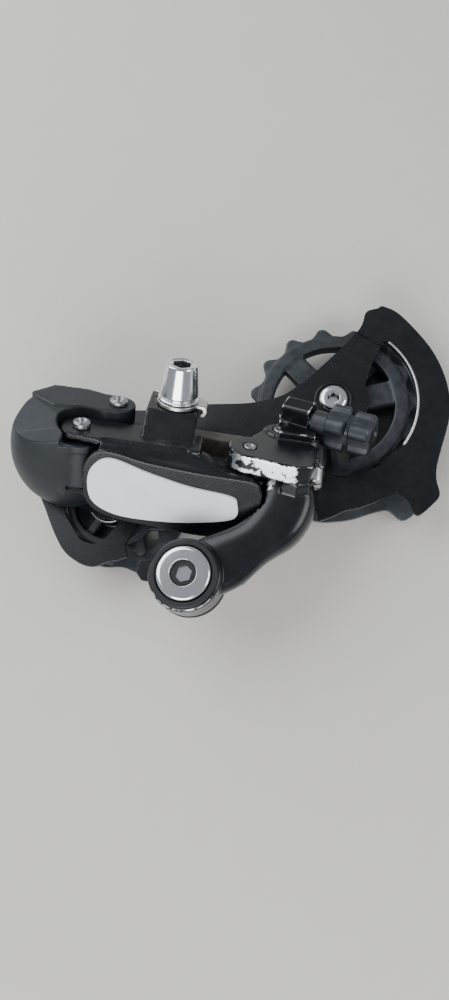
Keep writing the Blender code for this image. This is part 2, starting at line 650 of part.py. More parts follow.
def build_knuckle():
    body = knuckle_skin()
    arm = [(-11.5, 6.6), (8.0, 7.8)] + arc(P_IN, 6.2, -80.0, 90.0, 10)
    arm += [(-2.0, 20.4), (-13.0, 18.8), (-19.4, 12.6)]
    join(body, prism(arm, -4.5, 2.0, LINK), solver="MANIFOLD")
    cheek = [(-10.0, 5.0), (8.0, 8.0)] + arc(P_IN, 6.2, -80.0, 100.0, 10) + [(-8.0, 20.0)]
    join(body, prism(cheek, -17.0, -12.9, LINK), solver="MANIFOLD")

    facet = LINK @ axes_frame(Vector((-11.5, 6.5, 2.0)), Vector((0.0, 0.0, 1.0)),
                              Vector((-0.409, -0.595, 0.692)))
    cut(body, box((-60.0, -60.0, 0.0), (60.0, 60.0, 40.0), facet), solver="MANIFOLD")
    ears, wall = swing_outline(8.6, 236.0), swing_outline(6.7, -122.0)
    cut(body, prism(ears, -25.5, -22.0, LINK), prism(ears, -4.5, 6.0, LINK),
        prism(wall, -22.2, -4.3, LINK), solver="MANIFOLD")
    link_slot = arc(P_IN, 6.4, 90.0, 260.0, 10)
    link_slot += [(30.0, -16.0), (60.0, -4.0), (60.0, 20.4)]
    cut(body, prism(link_slot, -12.8, -4.6, LINK), solver="MANIFOLD")

    barrel = rod(KNUCKLE_BARREL_R, -21.9, -4.7, at_link(P_OUT), ROUND)
    web = box((-10.5, -3.0, -21.7), (-1.0, 5.4, -4.9), LINK)
    join(body, barrel, web, solver="MANIFOLD")

    cut(body, rod(11.0, -20.0, 1.4, at_row(*CAGE_AXIS), ROUND), solver="MANIFOLD")
    cut(body, rod(4.3, -20.0, 6.4, at_row(*CAGE_AXIS)), solver="MANIFOLD")
    cut(body, rod(PIN_R + 0.1, -26.5, 6.0, at_link(P_OUT)), solver="MANIFOLD")
    cut(body, rod(PIN_R + 0.1, -16.2, 6.0, at_link(P_IN)), solver="MANIFOLD")
    finish(body, "knuckle_body", "knuckle_plastic")

    here = at_row(*CAGE_AXIS)
    finish(coil(7.6, 1.6, -4.2, 0.2, 2.0, here, per_turn=10), "cage_spring", "spring_steel")
    finish(tube(10.5, 4.6, -6.9, -6.2, here), "cage_seal", "dust_rubber")


# ---------------------------------------------------------------- cage
def plate_holes(extra=()):
    return [circle(TENSION_AXIS, 2.7, 16), circle(GUIDE_AXIS, 2.7, 16), *extra]


def build_cage_plates():
    outer = smooth_loop([
        (-65.0, 52.0), (-61.0, 38.0), (-57.6, 30.0), (-53.4, 20.4), (-48.4, 12.6), (-40.2, 7.8),
        (-32.8, 9.2), (-26.4, 15.4),
    ], 3)[:-2]
    outer += smooth_loop([
        (-26.4, 15.4), (-22.6, 22.0), (-17.0, 31.0), (-10.0, 42.0), (0.0, 51.0), (12.0, 55.4),
        (24.0, 53.0), (30.4, 44.0), (35.0, 35.0), (44.0, 28.4),
    ], 2)[2:-4]
    outer += smooth_loop([
        (44.0, 28.4), (55.5, 26.4), (66.0, 29.2), (73.8, 32.6), (78.2, 29.8), (79.8, 25.4),
        (81.8, 23.9), (88.1, 29.1), (89.6, 32.0), (88.8, 37.2), (89.8, 44.0), (95.2, 60.7),
        (95.9, 70.7), (94.0, 81.0), (89.5, 91.4), (80.6, 103.8), (74.9, 108.0), (71.4, 107.8),
        (63.0, 98.0),
    ], 3)[:-2]
    outer += [(39.6, 76.4), (24.0, 70.6), (2.0, 70.4), (-20.0, 69.0), (-44.0, 70.8), (-58.0, 64.4)]

    crescent = arc(TENSION_AXIS, 31.0, 50.0, -92.0, 18)
    crescent += arc(TENSION_AXIS, 13.4, -100.0, 24.0, 10) + [(68.4, 85.0)]
    hook_gap = smooth_loop([
        (-50.4, 30.6), (-47.4, 24.0), (-43.2, 18.0), (-38.0, 16.2), (-33.4, 18.6), (-28.6, 24.6),
        (-35.6, 26.0), (-43.0, 30.4),
    ], 2)
    holes = plate_holes((crescent, hook_gap, circle(CAGE_AXIS, 3.3, 16)))
    finish(prism(outer, *OUTER_PLATE_Z, ROW, holes), "cage_outer_plate", "black_steel")

    inner = smooth_loop([
        (-57.0, 44.0), (-52.0, 28.0), (-45.0, 14.0), (-38.0, 9.6), (-29.0, 9.0), (-20.0, 6.0),
        (-12.0, 12.0), (-4.0, 26.0), (16.0, 38.4), (30.0, 35.0), (43.0, 25.8), (56.0, 25.2),
        (66.0, 27.8), (72.0, 28.6), (76.8, 24.6), (82.0, 27.6), (86.6, 34.0), (89.0, 46.0),
        (93.0, 60.0), (93.6, 71.0), (91.0, 82.0), (84.0, 94.0), (74.0, 101.0), (62.0, 95.0),
        (39.0, 74.6), (20.0, 66.0), (-6.0, 60.0), (-30.0, 60.0), (-48.0, 58.0),
    ], 3)
    window = arc(TENSION_AXIS, 28.6, 42.0, -84.0, 16) + arc(TENSION_AXIS, 13.0, -92.0, 40.0, 10)
    slot = smooth_loop([(-18.0, 46.0), (0.0, 49.0), (17.0, 52.0), (22.0, 57.0), (14.0, 60.0),
                        (-4.0, 55.6), (-19.0, 52.0)], 2)
    small_window = smooth_loop([(-21.2, 17.6), (-18.4, 15.8), (-15.8, 18.4), (-16.0, 23.6),
                                (-19.0, 25.0), (-21.4, 22.0)], 2)
    holes = plate_holes((window, slot, small_window))
    finish(prism(inner, *INNER_PLATE_Z, ROW, holes), "cage_inner_plate", "black_steel")


def build_cage_hardware():
    here = at_row(*CAGE_AXIS)
    axle = turned([
        (0.0, 6.0), (3.5, 6.0), (4.0, 5.5), (4.0, -6.85), (2.9, -6.85), (2.9, -9.0),
        (2.2, -9.4), (0.0, -9.4),
    ], here, SMALL_ROUND)
    finish(axle, "cage_axle", "steel")
    stop_spot = at_row(*polar(20.3, 76.0, CAGE_AXIS))
    finish(rod(1.4, -6.9, -4.4, stop_spot, chamfer=0.3), "cage_stop_pin", "steel")

    outer_face, inner_face = OUTER_PLATE_Z[1], INNER_PLATE_Z[0]
    tension = turned([
        (0.0, outer_face + 2.4), (4.3, outer_face + 2.4), (5.4, outer_face + 1.5),
        (5.5, outer_face + 0.3), (2.35, outer_face + 0.3), (2.35, inner_face - 0.6),
        (0.0, inner_face - 0.6),
    ], at_row(*TENSION_AXIS), ROUND)
    cut(tension, hexagon(1.75, outer_face + 0.8, outer_face + 4.0, at_row(*TENSION_AXIS)))
    finish(tension, "tension_pulley_bolt", "chrome")
    guide = turned([
        (0.0, outer_face - 0.3), (2.35, outer_face - 0.3), (2.35, inner_face - 0.3),
        (5.0, inner_face - 0.3), (5.0, inner_face - 1.6), (4.0, inner_face - 2.4),
        (0.0, inner_face - 2.4),
    ], at_row(*GUIDE_AXIS), ROUND)
    cut(guide, hexagon(1.75, inner_face - 4.0, inner_face - 0.9, at_row(*GUIDE_AXIS)))
    finish(guide, "guide_pulley_bolt", "chrome")


def sprocket_outline(pitch_r, teeth, tooth, turn):
    """Chain tooth form: root, flank and tip points for each tooth."""
    root_r, tip_r = pitch_r - tooth[0], pitch_r + tooth[1]
    flank_r = root_r + 0.45 * (tip_r - root_r)
    step = 360.0 / teeth
    outline = []
    for i in range(teeth):
        base = i * step + turn
        outline.append(polar(root_r, base - 0.4 * step))
        outline.append(polar(flank_r, base - 0.21 * step))
        outline.append(polar(tip_r, base - 0.09 * step))
        outline.append(polar(tip_r, base + 0.09 * step))
        outline.append(polar(flank_r, base + 0.21 * step))
        outline.append(polar(root_r, base + 0.4 * step))
    return outline


def build_pulley(name, axis, teeth, tooth, turn, rim, spokes, spoke_half, first_spoke):
    """Toothed wheel with a thick rim, (inner, outer) in radius, and thick parallel spokes."""
    here = at_row(axis[0], axis[1], PULLEY_Z)
    pitch_r = 0.5 * CHAIN_PITCH / math.sin(math.pi / teeth)
    hub_r = 8.2
    share = 360.0 / spokes
    at_rim = math.degrees(math.asin(spoke_half / rim[0]))
    at_hub = math.degrees(math.asin(spoke_half / hub_r))
    windows, ribs = [], []
    for i in range(spokes):
        spoke = first_spoke + share * i
        window = arc((0.0, 0.0), rim[0], spoke + at_rim, spoke + share - at_rim, 9)
        window += arc((0.0, 0.0), hub_r, spoke + share - at_hub, spoke + at_hub, 4)
        windows.append(window)
        along = here @ Matrix.Rotation(math.radians(spoke), 4, "Z")
        ribs.append(box((6.0, 0.5 - spoke_half, -2.1), (rim[0] + 0.6, spoke_half - 0.5, 2.1), along))
    outline = sprocket_outline(pitch_r, teeth, tooth, turn)
    wheel = prism(outline, -1.1, 1.1, here, [circle((0.0, 0.0), 4.35, 12), *windows])
    join(wheel, tube(rim[1], rim[0], -2.6, 2.6, here, 32), *ribs)
    cut(wheel, rod(7.0, -4.0, 4.0, here))
    join(wheel, tube(hub_r, 4.35, -2.9, 2.9, here, 12))
    finish(wheel, name + "_pulley", "pulley_plastic")

    finish(tube(4.0, 2.65, -4.0, 4.0, here, 12), name + "_bushing", "steel")
    finish(tube(8.6, 4.4, 3.25, 4.0, here, 16), name + "_cap_outer", "black_steel")
    finish(tube(8.6, 4.4, -4.0, -3.25, here, 16), name + "_cap_inner", "black_steel")


# ---------------------------------------------------------------- bodies
BODY_PIECES = {
    "mount": (ROW, ["mounting_bolt", "mount_bushing", "stopper_plate", "retaining_clip"]),
    "bracket": (ROW, ["bracket_body", "dust_ring", "bracket_spring", "adjuster_sleeve",
                      "adjuster_spring", "pin_outer_bracket", "pin_inner_bracket"]),
    "barrel": (ADJUSTER, ["barrel_adjuster"]),
    "high_screw": (limit_frame(LIMIT_SCREW_Z["limit_screw_high"]), ["limit_screw_high"]),
    "low_screw": (limit_frame(LIMIT_SCREW_Z["limit_screw_low"]), ["limit_screw_low"]),
    "tension_screw": (TENSION_SCREW, ["b_tension_screw"]),
    "outer_link": (at_link(B_OUT), ["outer_link", "name_plate", "cable_clamp_plate",
                                    "cable_clamp_bolt", "return_spring"]),
    "inner_link": (at_link(B_IN), ["inner_link"]),
    "knuckle": (at_link(P_OUT), ["knuckle_body", "cage_spring", "cage_seal",
                                 "pin_outer_knuckle", "pin_inner_knuckle"]),
    "cage": (at_row(*CAGE_AXIS), ["cage_outer_plate", "cage_inner_plate", "cage_axle",
                                  "cage_stop_pin", "tension_pulley_bolt", "guide_pulley_bolt",
                                  "guide_bushing", "guide_cap_outer", "guide_cap_inner",
                                  "tension_bushing", "tension_cap_outer", "tension_cap_inner"]),
    "guide_wheel": (at_row(*GUIDE_AXIS), ["guide_pulley"]),
    "tension_wheel": (at_row(*TENSION_AXIS), ["tension_pulley"]),
}


def parent_bodies():
    """Give each moving body an empty on its joint's axis, and hang its pieces on it."""
    for body, (matrix, names) in BODY_PIECES.items():
        pivot = bpy.data.objects.new("axis_" + body, None)
        pivot.matrix_world = matrix
        pivot.empty_display_size = 0.01
        PARTS.objects.link(pivot)
        for name in names:
            piece = bpy.data.objects[name]
            piece.parent = pivot
            piece.matrix_parent_inverse = matrix.inverted()


def main():
    build_mount()
    build_bracket()
    build_adjusters()
    build_outer_link()
    build_clamp()
    build_inner_link()
    build_pins()
    build_return_spring()
    build_knuckle()
    build_cage_plates()
    build_cage_hardware()
    build_pulley("guide", GUIDE_AXIS, GUIDE_TEETH, GUIDE_TOOTH, 8.0, GUIDE_RIM, 5, 2.0, 20.0)
    build_pulley("tension", TENSION_AXIS, TENSION_TEETH, TENSION_TOOTH, 0.0, TENSION_RIM, 3, 5.0, 10.0)
    parent_bodies()


main()
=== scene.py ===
"""Looks of a rear bicycle derailleur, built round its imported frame.

Lengths are in millimetres in the row frame and turn into metres where vertices are made.
The castings, links, wheels, plates and fasteners are rebuilt here with fine, rounded surfaces;
their places come from the frame's joints and boxes.
"""
import json
import math

import bmesh
import bpy
import numpy as np
from mathutils import Matrix, Vector


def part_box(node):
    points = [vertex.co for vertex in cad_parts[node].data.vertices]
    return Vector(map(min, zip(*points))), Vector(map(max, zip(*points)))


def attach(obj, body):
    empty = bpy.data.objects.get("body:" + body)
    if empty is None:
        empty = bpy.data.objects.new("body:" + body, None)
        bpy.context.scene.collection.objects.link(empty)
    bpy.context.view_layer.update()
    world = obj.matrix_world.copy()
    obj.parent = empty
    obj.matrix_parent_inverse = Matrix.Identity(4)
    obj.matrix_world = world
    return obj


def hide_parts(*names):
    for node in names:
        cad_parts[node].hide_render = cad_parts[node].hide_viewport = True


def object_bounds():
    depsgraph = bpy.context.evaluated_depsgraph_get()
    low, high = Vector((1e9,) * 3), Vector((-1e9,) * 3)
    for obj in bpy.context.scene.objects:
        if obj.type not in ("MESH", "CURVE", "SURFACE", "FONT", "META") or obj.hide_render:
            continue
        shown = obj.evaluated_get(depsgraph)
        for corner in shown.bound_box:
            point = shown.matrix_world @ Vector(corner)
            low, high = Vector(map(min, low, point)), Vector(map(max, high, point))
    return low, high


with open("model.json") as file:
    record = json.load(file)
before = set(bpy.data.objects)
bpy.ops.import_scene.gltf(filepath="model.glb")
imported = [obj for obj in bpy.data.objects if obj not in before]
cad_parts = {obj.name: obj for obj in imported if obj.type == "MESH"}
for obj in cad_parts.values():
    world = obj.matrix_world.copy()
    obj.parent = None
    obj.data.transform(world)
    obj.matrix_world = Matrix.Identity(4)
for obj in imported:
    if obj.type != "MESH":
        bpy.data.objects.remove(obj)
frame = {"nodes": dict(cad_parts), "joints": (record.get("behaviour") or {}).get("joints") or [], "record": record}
CAD_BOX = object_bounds()

MM = 0.001
NODES = frame["nodes"]
JOINTS = {joint["name"]: joint for joint in frame["joints"]}
NODE_BODY = {node: body for body, nodes in frame["record"]["behaviour"]["bodies"].items()
             for node in nodes}
UP = Vector((0.0, 0.0, 1.0))
ROW = Matrix.Identity(4)
FINE = 96                       # sides of a turned piece
MERGED = 0.000002               # metres within which two points are one
WORN_LIFT = 0.16                # how far a fully worn edge stands out of its casting
CHAIN_PITCH = 12.7
BEARING_R = 4.35


# ---------------------------------------------------------------- frames
def axes_frame(origin, x_axis, z_axis):
    """Matrix of a frame in metres with the given X and Z directions."""
    z_unit = z_axis.normalized()
    y_unit = z_unit.cross(x_axis).normalized()
    x_unit = y_unit.cross(z_unit)
    basis = Matrix((x_unit, y_unit, z_unit)).transposed().to_4x4()
    return Matrix.Translation(origin * MM) @ basis


def joint_place(name):
    return Vector(JOINTS[name]["pos_m"]) / MM


def joint_frame(name):
    """Frame on a joint's axis, its X kept as near +Z as it can be."""
    return axes_frame(joint_place(name), UP, Vector(JOINTS[name]["axis"]))


def turn_by(degrees, axis="Z"):
    return Matrix.Rotation(math.radians(degrees), 4, axis)


def z_span(node):
    low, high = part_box(node)
    return low.z / MM, high.z / MM


PIN_AXIS = -Vector(JOINTS["outer_link_hinge"]["axis"]).normalized()
LINK_START = joint_place("knuckle_hinge")
LINK_X = (joint_place("outer_link_hinge") - LINK_START).normalized()
LINK = axes_frame(LINK_START, LINK_X, PIN_AXIS)
ADJUSTER = joint_frame("barrel_adjuster_turn")
LIMITS = (joint_frame("high_limit_turn"), joint_frame("low_limit_turn"))
TENSION_SCREW = joint_frame("b_tension_turn")
CAGE_AXIS = joint_place("cage_hinge").xy
GUIDE = joint_place("guide_pulley_spin")
TENSION = joint_place("tension_pulley_spin")
OUTER_PLATE_Z = z_span("cage_outer_plate")
INNER_PLATE_Z = z_span("cage_inner_plate")

P_OUT = Vector((0.0, 0.0))
B_OUT = Vector(((joint_place("outer_link_hinge") - LINK_START).length, 0.0))
B_IN = ((LINK.inverted() @ (joint_place("inner_link_hinge") * MM)) / MM).xy
P_IN = B_IN - B_OUT
CLAMP_UV = Vector((31.1, 14.6))
CLAMP_SEAT_P = 5.2
PIN_R = 2.2
PIN_FREE_R = PIN_R + 0.25       # bore of a part that turns on a pin
PIN_HELD_R = PIN_R + 0.15       # bore of the part that holds the pin
BOSS_R = 12.6
BOSS_Z = (1.8, 15.6)


def at_row(x, y, z=0.0):
    return Matrix.Translation(Vector((x, y, z)) * MM)


def at_link(uv, level=0.0):
    return LINK @ Matrix.Translation(Vector((uv[0], uv[1], level)) * MM)


# ---------------------------------------------------------------- material nodes
class Tree:
    """A material's node tree, with short ways to add what the looks share."""

    def __init__(self, name):
        self.material = bpy.data.materials.new(name)
        self.material.use_nodes = True
        self.nodes = self.material.node_tree.nodes
        self.links = self.material.node_tree.links
        self.shader = self.nodes["Principled BSDF"]
        self.where = self.nodes.new("ShaderNodeTexCoord").outputs["Object"]

    def feed(self, socket, value):
        if isinstance(value, bpy.types.NodeSocket):
            self.links.new(value, socket)
        elif socket.type == "RGBA":
            socket.default_value = (*value[:3], 1.0)
        else:
            socket.default_value = value

    def noise(self, per_mm, detail=3.0, stretch=(1.0, 1.0, 1.0), turn=(0.0, 0.0, 0.0), shift=0.0):
        """Noise whose features are about 1 / per_mm millimetres across."""
        mapping = self.nodes.new("ShaderNodeMapping")
        mapping.inputs["Scale"].default_value = [per_mm / MM * s for s in stretch]
        mapping.inputs["Rotation"].default_value = turn
        mapping.inputs["Location"].default_value = (shift, shift, shift)
        self.links.new(self.where, mapping.inputs["Vector"])
        made = self.nodes.new("ShaderNodeTexNoise")
        made.inputs["Scale"].default_value = 1.0
        made.inputs["Detail"].default_value = detail
        made.inputs["Roughness"].default_value = 0.6
        self.links.new(mapping.outputs["Vector"], made.inputs["Vector"])
        return made.outputs["Fac"]

    def math(self, kind, first, second=0.0):
        made = self.nodes.new("ShaderNodeMath")
        made.operation = kind
        self.feed(made.inputs[0], first)
        self.feed(made.inputs[1], second)
        return made.outputs[0]

    def step(self, value, low, high, to_low=0.0, to_high=1.0):
        made = self.nodes.new("ShaderNodeMapRange")
        made.interpolation_type = "SMOOTHSTEP"
        self.feed(made.inputs["Value"], value)
        made.inputs["From Min"].default_value = low
        made.inputs["From Max"].default_value = high
        made.inputs["To Min"].default_value = to_low
        made.inputs["To Max"].default_value = to_high
        return made.outputs["Result"]

    def mix(self, amount, first, second):
        made = self.nodes.new("ShaderNodeMix")
        made.data_type = "RGBA"
        self.feed(made.inputs["Factor"], amount)
        self.feed(made.inputs["A"], first)
        self.feed(made.inputs["B"], second)
        return made.outputs["Result"]

    def attribute(self, name):
        made = self.nodes.new("ShaderNodeAttribute")
        made.attribute_name = name
        return made.outputs["Fac"]

    def facing_up(self):
        normal = self.nodes.new("ShaderNodeNewGeometry").outputs["Normal"]
        split = self.nodes.new("ShaderNodeSeparateXYZ")
        self.links.new(normal, split.inputs["Vector"])
        return split.outputs["Z"]

    def bump(self, height, depth_mm, base=None):
        made = self.nodes.new("ShaderNodeBump")
        made.inputs["Strength"].default_value = 1.0
        made.inputs["Distance"].default_value = depth_mm * MM
        self.links.new(height, made.inputs["Height"])
        if base is not None:
            self.links.new(base, made.inputs["Normal"])
        return made.outputs["Normal"]


def coated(name, colour, roughness, *, metallic=0.0, vary=0.25, grain=0.02, scuff=0.12,
           scratch=0.35, dust=0.0, dust_colour=(0.42, 0.44, 0.46), wear=0.0,
           bare=(0.62, 0.62, 0.63), coat=0.0, shine=0.5):
    """A painted, plated or moulded surface: mottled, finely grained, scuffed, dusty and worn.

    wear is how far the coating has gone where the mesh's own wear attribute marks an edge.
    """
    tree = Tree(name)
    cloud = tree.noise(0.12, 4.0)
    light = tuple(min(1.0, c * (1.0 + vary) + 0.004 * vary) for c in colour)
    dark = tuple(c * (1.0 - vary) for c in colour)
    tint = tree.mix(tree.step(cloud, 0.3, 0.7), dark, light)
    rough = tree.math("ADD", roughness - 0.5 * scuff,
                      tree.math("MULTIPLY", tree.noise(0.5, 5.0, shift=3.0), scuff))
    if scratch:
        lines = tree.noise(0.9, 2.0, stretch=(0.06, 4.0, 1.0), turn=(0.0, 0.0, 0.7))
        other = tree.noise(0.8, 2.0, stretch=(4.0, 0.07, 1.0), turn=(0.0, 0.0, 0.3), shift=9.0)
        marks = tree.math("MULTIPLY", tree.step(lines, 0.66, 0.72), tree.step(cloud, 0.4, 0.6))
        marks = tree.math("MAXIMUM", marks, tree.step(other, 0.7, 0.76))
        marks = tree.math("MULTIPLY", marks, scratch)
        tint = tree.mix(marks, tint, tuple(0.6 * c + 0.06 for c in colour))
    if dust:
        lying = tree.math("MULTIPLY", tree.step(tree.facing_up(), 0.2, 0.95),
                          tree.step(tree.noise(0.3, 5.0, shift=5.0), 0.2, 0.85))
        lying = tree.math("MULTIPLY", lying, dust)
        tint = tree.mix(lying, tint, dust_colour)
        rough = tree.math("ADD", rough, tree.math("MULTIPLY", lying, 0.3))
    metal = metallic
    grain_height = tree.noise(2.5, 3.0, shift=1.0)
    normal = tree.bump(grain_height, grain)
    if wear:
        places = tree.math("MULTIPLY", tree.math("SUBTRACT", tree.noise(0.13, 2.0, shift=7.0), 0.5), 1.8)
        flecks = tree.math("MULTIPLY", tree.math("SUBTRACT", tree.noise(0.5, 9.0, shift=4.0), 0.5), 2.6)
        uneven = tree.math("ADD", 1.0, tree.math("ADD", places, flecks))
        worn = tree.math("MULTIPLY", tree.attribute("wear"), uneven)
        gone = tree.step(worn, 1.2 - wear, 1.32 - wear)
        tint = tree.mix(gone, tint, bare)
        metal = tree.math("MAXIMUM", gone, metallic)
        rough = tree.math("ADD", tree.math("MULTIPLY", rough, tree.math("SUBTRACT", 1.0, gone)),
                          tree.math("MULTIPLY", gone, 0.36))
        whole = tree.math("SUBTRACT", 1.0, gone)
        normal = tree.bump(whole, 0.05, base=normal)
    tree.feed(tree.shader.inputs["Base Color"], tint)
    tree.feed(tree.shader.inputs["Roughness"], rough)
    tree.feed(tree.shader.inputs["Metallic"], metal)
    tree.links.new(normal, tree.shader.inputs["Normal"])
    tree.shader.inputs["Coat Weight"].default_value = coat
    tree.shader.inputs["Coat Roughness"].default_value = 0.2
    tree.shader.inputs["Specular IOR Level"].default_value = shine
    return tree.material


PALE_DUST = (0.30, 0.36, 0.42)
LOOKS = {material.name: material for material in (
    coated("bracket_paint", (0.006, 0.007, 0.009), 0.24, vary=0.3, wear=0.5, scratch=0.1, dust=0.008,
           coat=0.25, shine=0.35, bare=(0.84, 0.86, 0.88)),
    coated("link_paint", (0.006, 0.007, 0.008), 0.27, wear=0.3, dust=0.015, scratch=0.1, shine=0.4),
    coated("inner_paint", (0.060, 0.052, 0.045), 0.5, wear=0.35, dust=0.6,
           dust_colour=(0.30, 0.27, 0.24)),
    coated("knuckle_resin", (0.011, 0.015, 0.019), 0.44, vary=0.12, scratch=0.06, grain=0.008,
           dust=0.03, dust_colour=PALE_DUST, shine=0.4),
    # Cage plate black: its rounded edges go to bare metal, partly wear and partly painted highlight along the
    # rims.
    coated("plate_paint", (0.006, 0.007, 0.008), 0.28, wear=0.85, dust=0.012, scratch=0.05,
           shine=0.35),
    # Lighter metal of the window lip: a painted highlight along the crescent's inner edge, its rounded edges worn
    # bare.
    coated("lip_painted_highlight", (0.30, 0.33, 0.36), 0.26, metallic=0.8, vary=0.6, wear=0.8, scratch=0.3),
    coated("inner_plate_paint", (0.085, 0.098, 0.110), 0.32, metallic=0.5, wear=0.7, dust=0.1,
           scratch=0.4),
    coated("chrome_plate", (0.86, 0.87, 0.88), 0.17, metallic=1.0, vary=0.04, scuff=0.12, grain=0.004,
           scratch=0.25),
    coated("zinc_steel", (0.60, 0.59, 0.57), 0.32, metallic=1.0, vary=0.12, grain=0.01, scratch=0.4),
    # Darker steel of the pivot pins: painted shade for pins lying in the links' shadow.
    coated("pin_steel_painted_shade", (0.36, 0.36, 0.36), 0.36, metallic=1.0, vary=0.25, grain=0.02, scratch=0.2),
    coated("spring_wire", (0.34, 0.34, 0.35), 0.3, metallic=1.0, vary=0.15),
    coated("wheel_plastic", (0.009, 0.010, 0.012), 0.42, dust=0.2, scratch=0.05,
           dust_colour=(0.15, 0.19, 0.23)),
    coated("knob_plastic", (0.014, 0.018, 0.023), 0.34, vary=0.12, scratch=0.08, dust=0.12,
           dust_colour=PALE_DUST),
    coated("black_rubber", (0.006, 0.006, 0.007), 0.5, dust=0.03, scratch=0.0),
    coated("badge_silver", (0.93, 0.95, 0.96), 0.3, vary=0.03, scuff=0.06, grain=0.003, scratch=0.05),
)}


# ---------------------------------------------------------------- mesh helpers
def new_object(name, data, matrix=ROW):
    made = bpy.data.objects.new(name, data)
    made.matrix_world = matrix
    bpy.context.scene.collection.objects.link(made)
    return made


def from_bmesh(name, shell, matrix=ROW):
    bmesh.ops.recalc_face_normals(shell, faces=shell.faces)
    mesh = bpy.data.meshes.new(name)
    shell.to_mesh(mesh)
    shell.free()
    return new_object(name, mesh, matrix)


def evaluated(piece):
    bpy.context.view_layer.update()
    return piece.evaluated_get(bpy.context.evaluated_depsgraph_get())


def bake(piece):
    """Turn a piece's modifiers into its mesh, in the row frame."""
    mesh = bpy.data.meshes.new_from_object(evaluated(piece))
    mesh.transform(piece.matrix_world)
    piece.modifiers.clear()
    piece.data = mesh
    piece.matrix_world = ROW
    return piece


def turned(profile, matrix, steps=FINE, closed=False):
    """Screw a half profile of (radius, height) pairs, outer side top to bottom."""
    mesh = bpy.data.meshes.new("profile")
    points = [(radius * MM, 0.0, height * MM) for radius, height in profile]
    edges = [(i, i + 1) for i in range(len(points) - 1)]
    if closed:
        edges.append((len(points) - 1, 0))
    mesh.from_pydata(points, edges, [])
    piece = new_object("turned", mesh, matrix)
    screw = piece.modifiers.new("turn", "SCREW")
    screw.steps = steps
    screw.render_steps = steps
    screw.use_merge_vertices = True
    screw.merge_threshold = 0.00001
    return bake(piece)


def rod(radius, low, high, matrix, chamfer=0.0):
    profile = [(0.0, high), (radius, high), (radius, low), (0.0, low)]
    if chamfer > 0.0:
        profile = [(0.0, high), (radius - chamfer, high), (radius, high - chamfer),
                   (radius, low + chamfer), (radius - chamfer, low), (0.0, low)]
    return turned(profile, matrix)


def tube(outer, inner, low, high, matrix):
    return turned([(inner, high), (outer, high), (outer, low), (inner, low)], matrix, closed=True)


def raised(profile, base):
    return [(radius, base + height) for radius, height in profile]


def solid_from(curve, matrix):
    """Solid that a curve's bevel or extrusion fills, its seams closed."""
    source = new_object(curve.name, curve, matrix)
    shell = bmesh.new()
    shell.from_mesh(bpy.data.meshes.new_from_object(evaluated(source)))
    shell.transform(source.matrix_world)
    bpy.data.objects.remove(source, do_unlink=True)
    bmesh.ops.remove_doubles(shell, verts=shell.verts, dist=MERGED)
    return from_bmesh(curve.name, shell)


def prism(outline, low, high, matrix, holes=()):
    """Flat outline of (x, y) points, extruded from low to high along Z."""
    curve = bpy.data.curves.new("outline", "CURVE")
    curve.dimensions = "2D"
    curve.fill_mode = "BOTH"
    curve.extrude = 0.5 * (high - low) * MM
    for loop in (outline, *holes):
        line = curve.splines.new("POLY")
        line.points.add(len(loop) - 1)
        for point, (x, y) in zip(line.points, loop):
            point.co = (x * MM, y * MM, 0.0, 1.0)
        line.use_cyclic_u = True
    return solid_from(curve, matrix @ Matrix.Translation((0, 0, 0.5 * (high + low) * MM)))


def box(low, high, matrix):
    size = [(high[i] - low[i]) * MM for i in range(3)]
    centre = [0.5 * (high[i] + low[i]) * MM for i in range(3)]
    shell = bmesh.new()
    bmesh.ops.create_cube(shell, size=1.0,
                          matrix=matrix @ Matrix.Translation(centre) @ Matrix.Diagonal((*size, 1.0)))
    return from_bmesh("box", shell)


def polar(radius, degrees, centre=(0.0, 0.0)):
    angle = math.radians(degrees)
    return (centre[0] + radius * math.cos(angle), centre[1] + radius * math.sin(angle))


def arc(centre, radius, start, end, count):
    step = (end - start) / (count - 1)
    return [polar(radius, start + step * i, centre) for i in range(count)]


def circle(centre, radius, count=48):
    return [polar(radius, 360.0 * i / count, centre) for i in range(count)]


def hexagon(radius, low, high, matrix):
    return prism([polar(radius, 60.0 * i + 30.0) for i in range(6)], low, high, matrix)


def spline(before, start, end, after, t):
    """Catmull-Rom point between start and end, for vectors or numbers."""
    return 0.5 * (2.0 * start + (end - before) * t
                  + (2.0 * before - 5.0 * start + 4.0 * end - after) * (t * t)
                  + (3.0 * start - before - 3.0 * end + after) * t ** 3)


def smooth_loop(points, per_span=10):
    count = len(points)
    vectors = [Vector(point) for point in points]
    return [tuple(spline(vectors[i - 1], vectors[i], vectors[(i + 1) % count],
                         vectors[(i + 2) % count], k / per_span))
            for i in range(count) for k in range(per_span)]


def smooth_rows(rows, per_span=6):
    """Rows of numbers along a form, filled in between with a smooth curve."""
    table = [np.array(row, float) for row in rows]
    last = len(table) - 1
    filled = []
    for i in range(last):
        before, after = table[max(i - 1, 0)], table[min(i + 2, last)]
        filled += [spline(before, table[i], table[i + 1], after, k / per_span)
                   for k in range(per_span)]
    return filled + [table[last]]


def loft(rings, matrix=ROW):
    """Close a skin over rings that all have the same number of points."""
    shell = bmesh.new()
    rows = [[shell.verts.new(Vector(point) * MM) for point in ring] for ring in rings]
    count = len(rings[0])
    for low, high in zip(rows, rows[1:]):
        for i in range(count):
            j = (i + 1) % count
            shell.faces.new((low[i], low[j], high[j], high[i]))
    shell.faces.new(rows[0][::-1])
    shell.faces.new(rows[-1])
    shell.transform(matrix)
    return from_bmesh("loft", shell)


def oval(centre, first, second, power):
    """Superellipse ring spanned by two half-axis vectors."""
    ring = []
    for i in range(FINE):
        angle = 2.0 * math.pi * i / FINE
        c, s = math.cos(angle), math.sin(angle)
        a = math.copysign(abs(c) ** (2.0 / power), c)
        b = math.copysign(abs(s) ** (2.0 / power), s)
        ring.append(centre + first * a + second * b)
    return ring


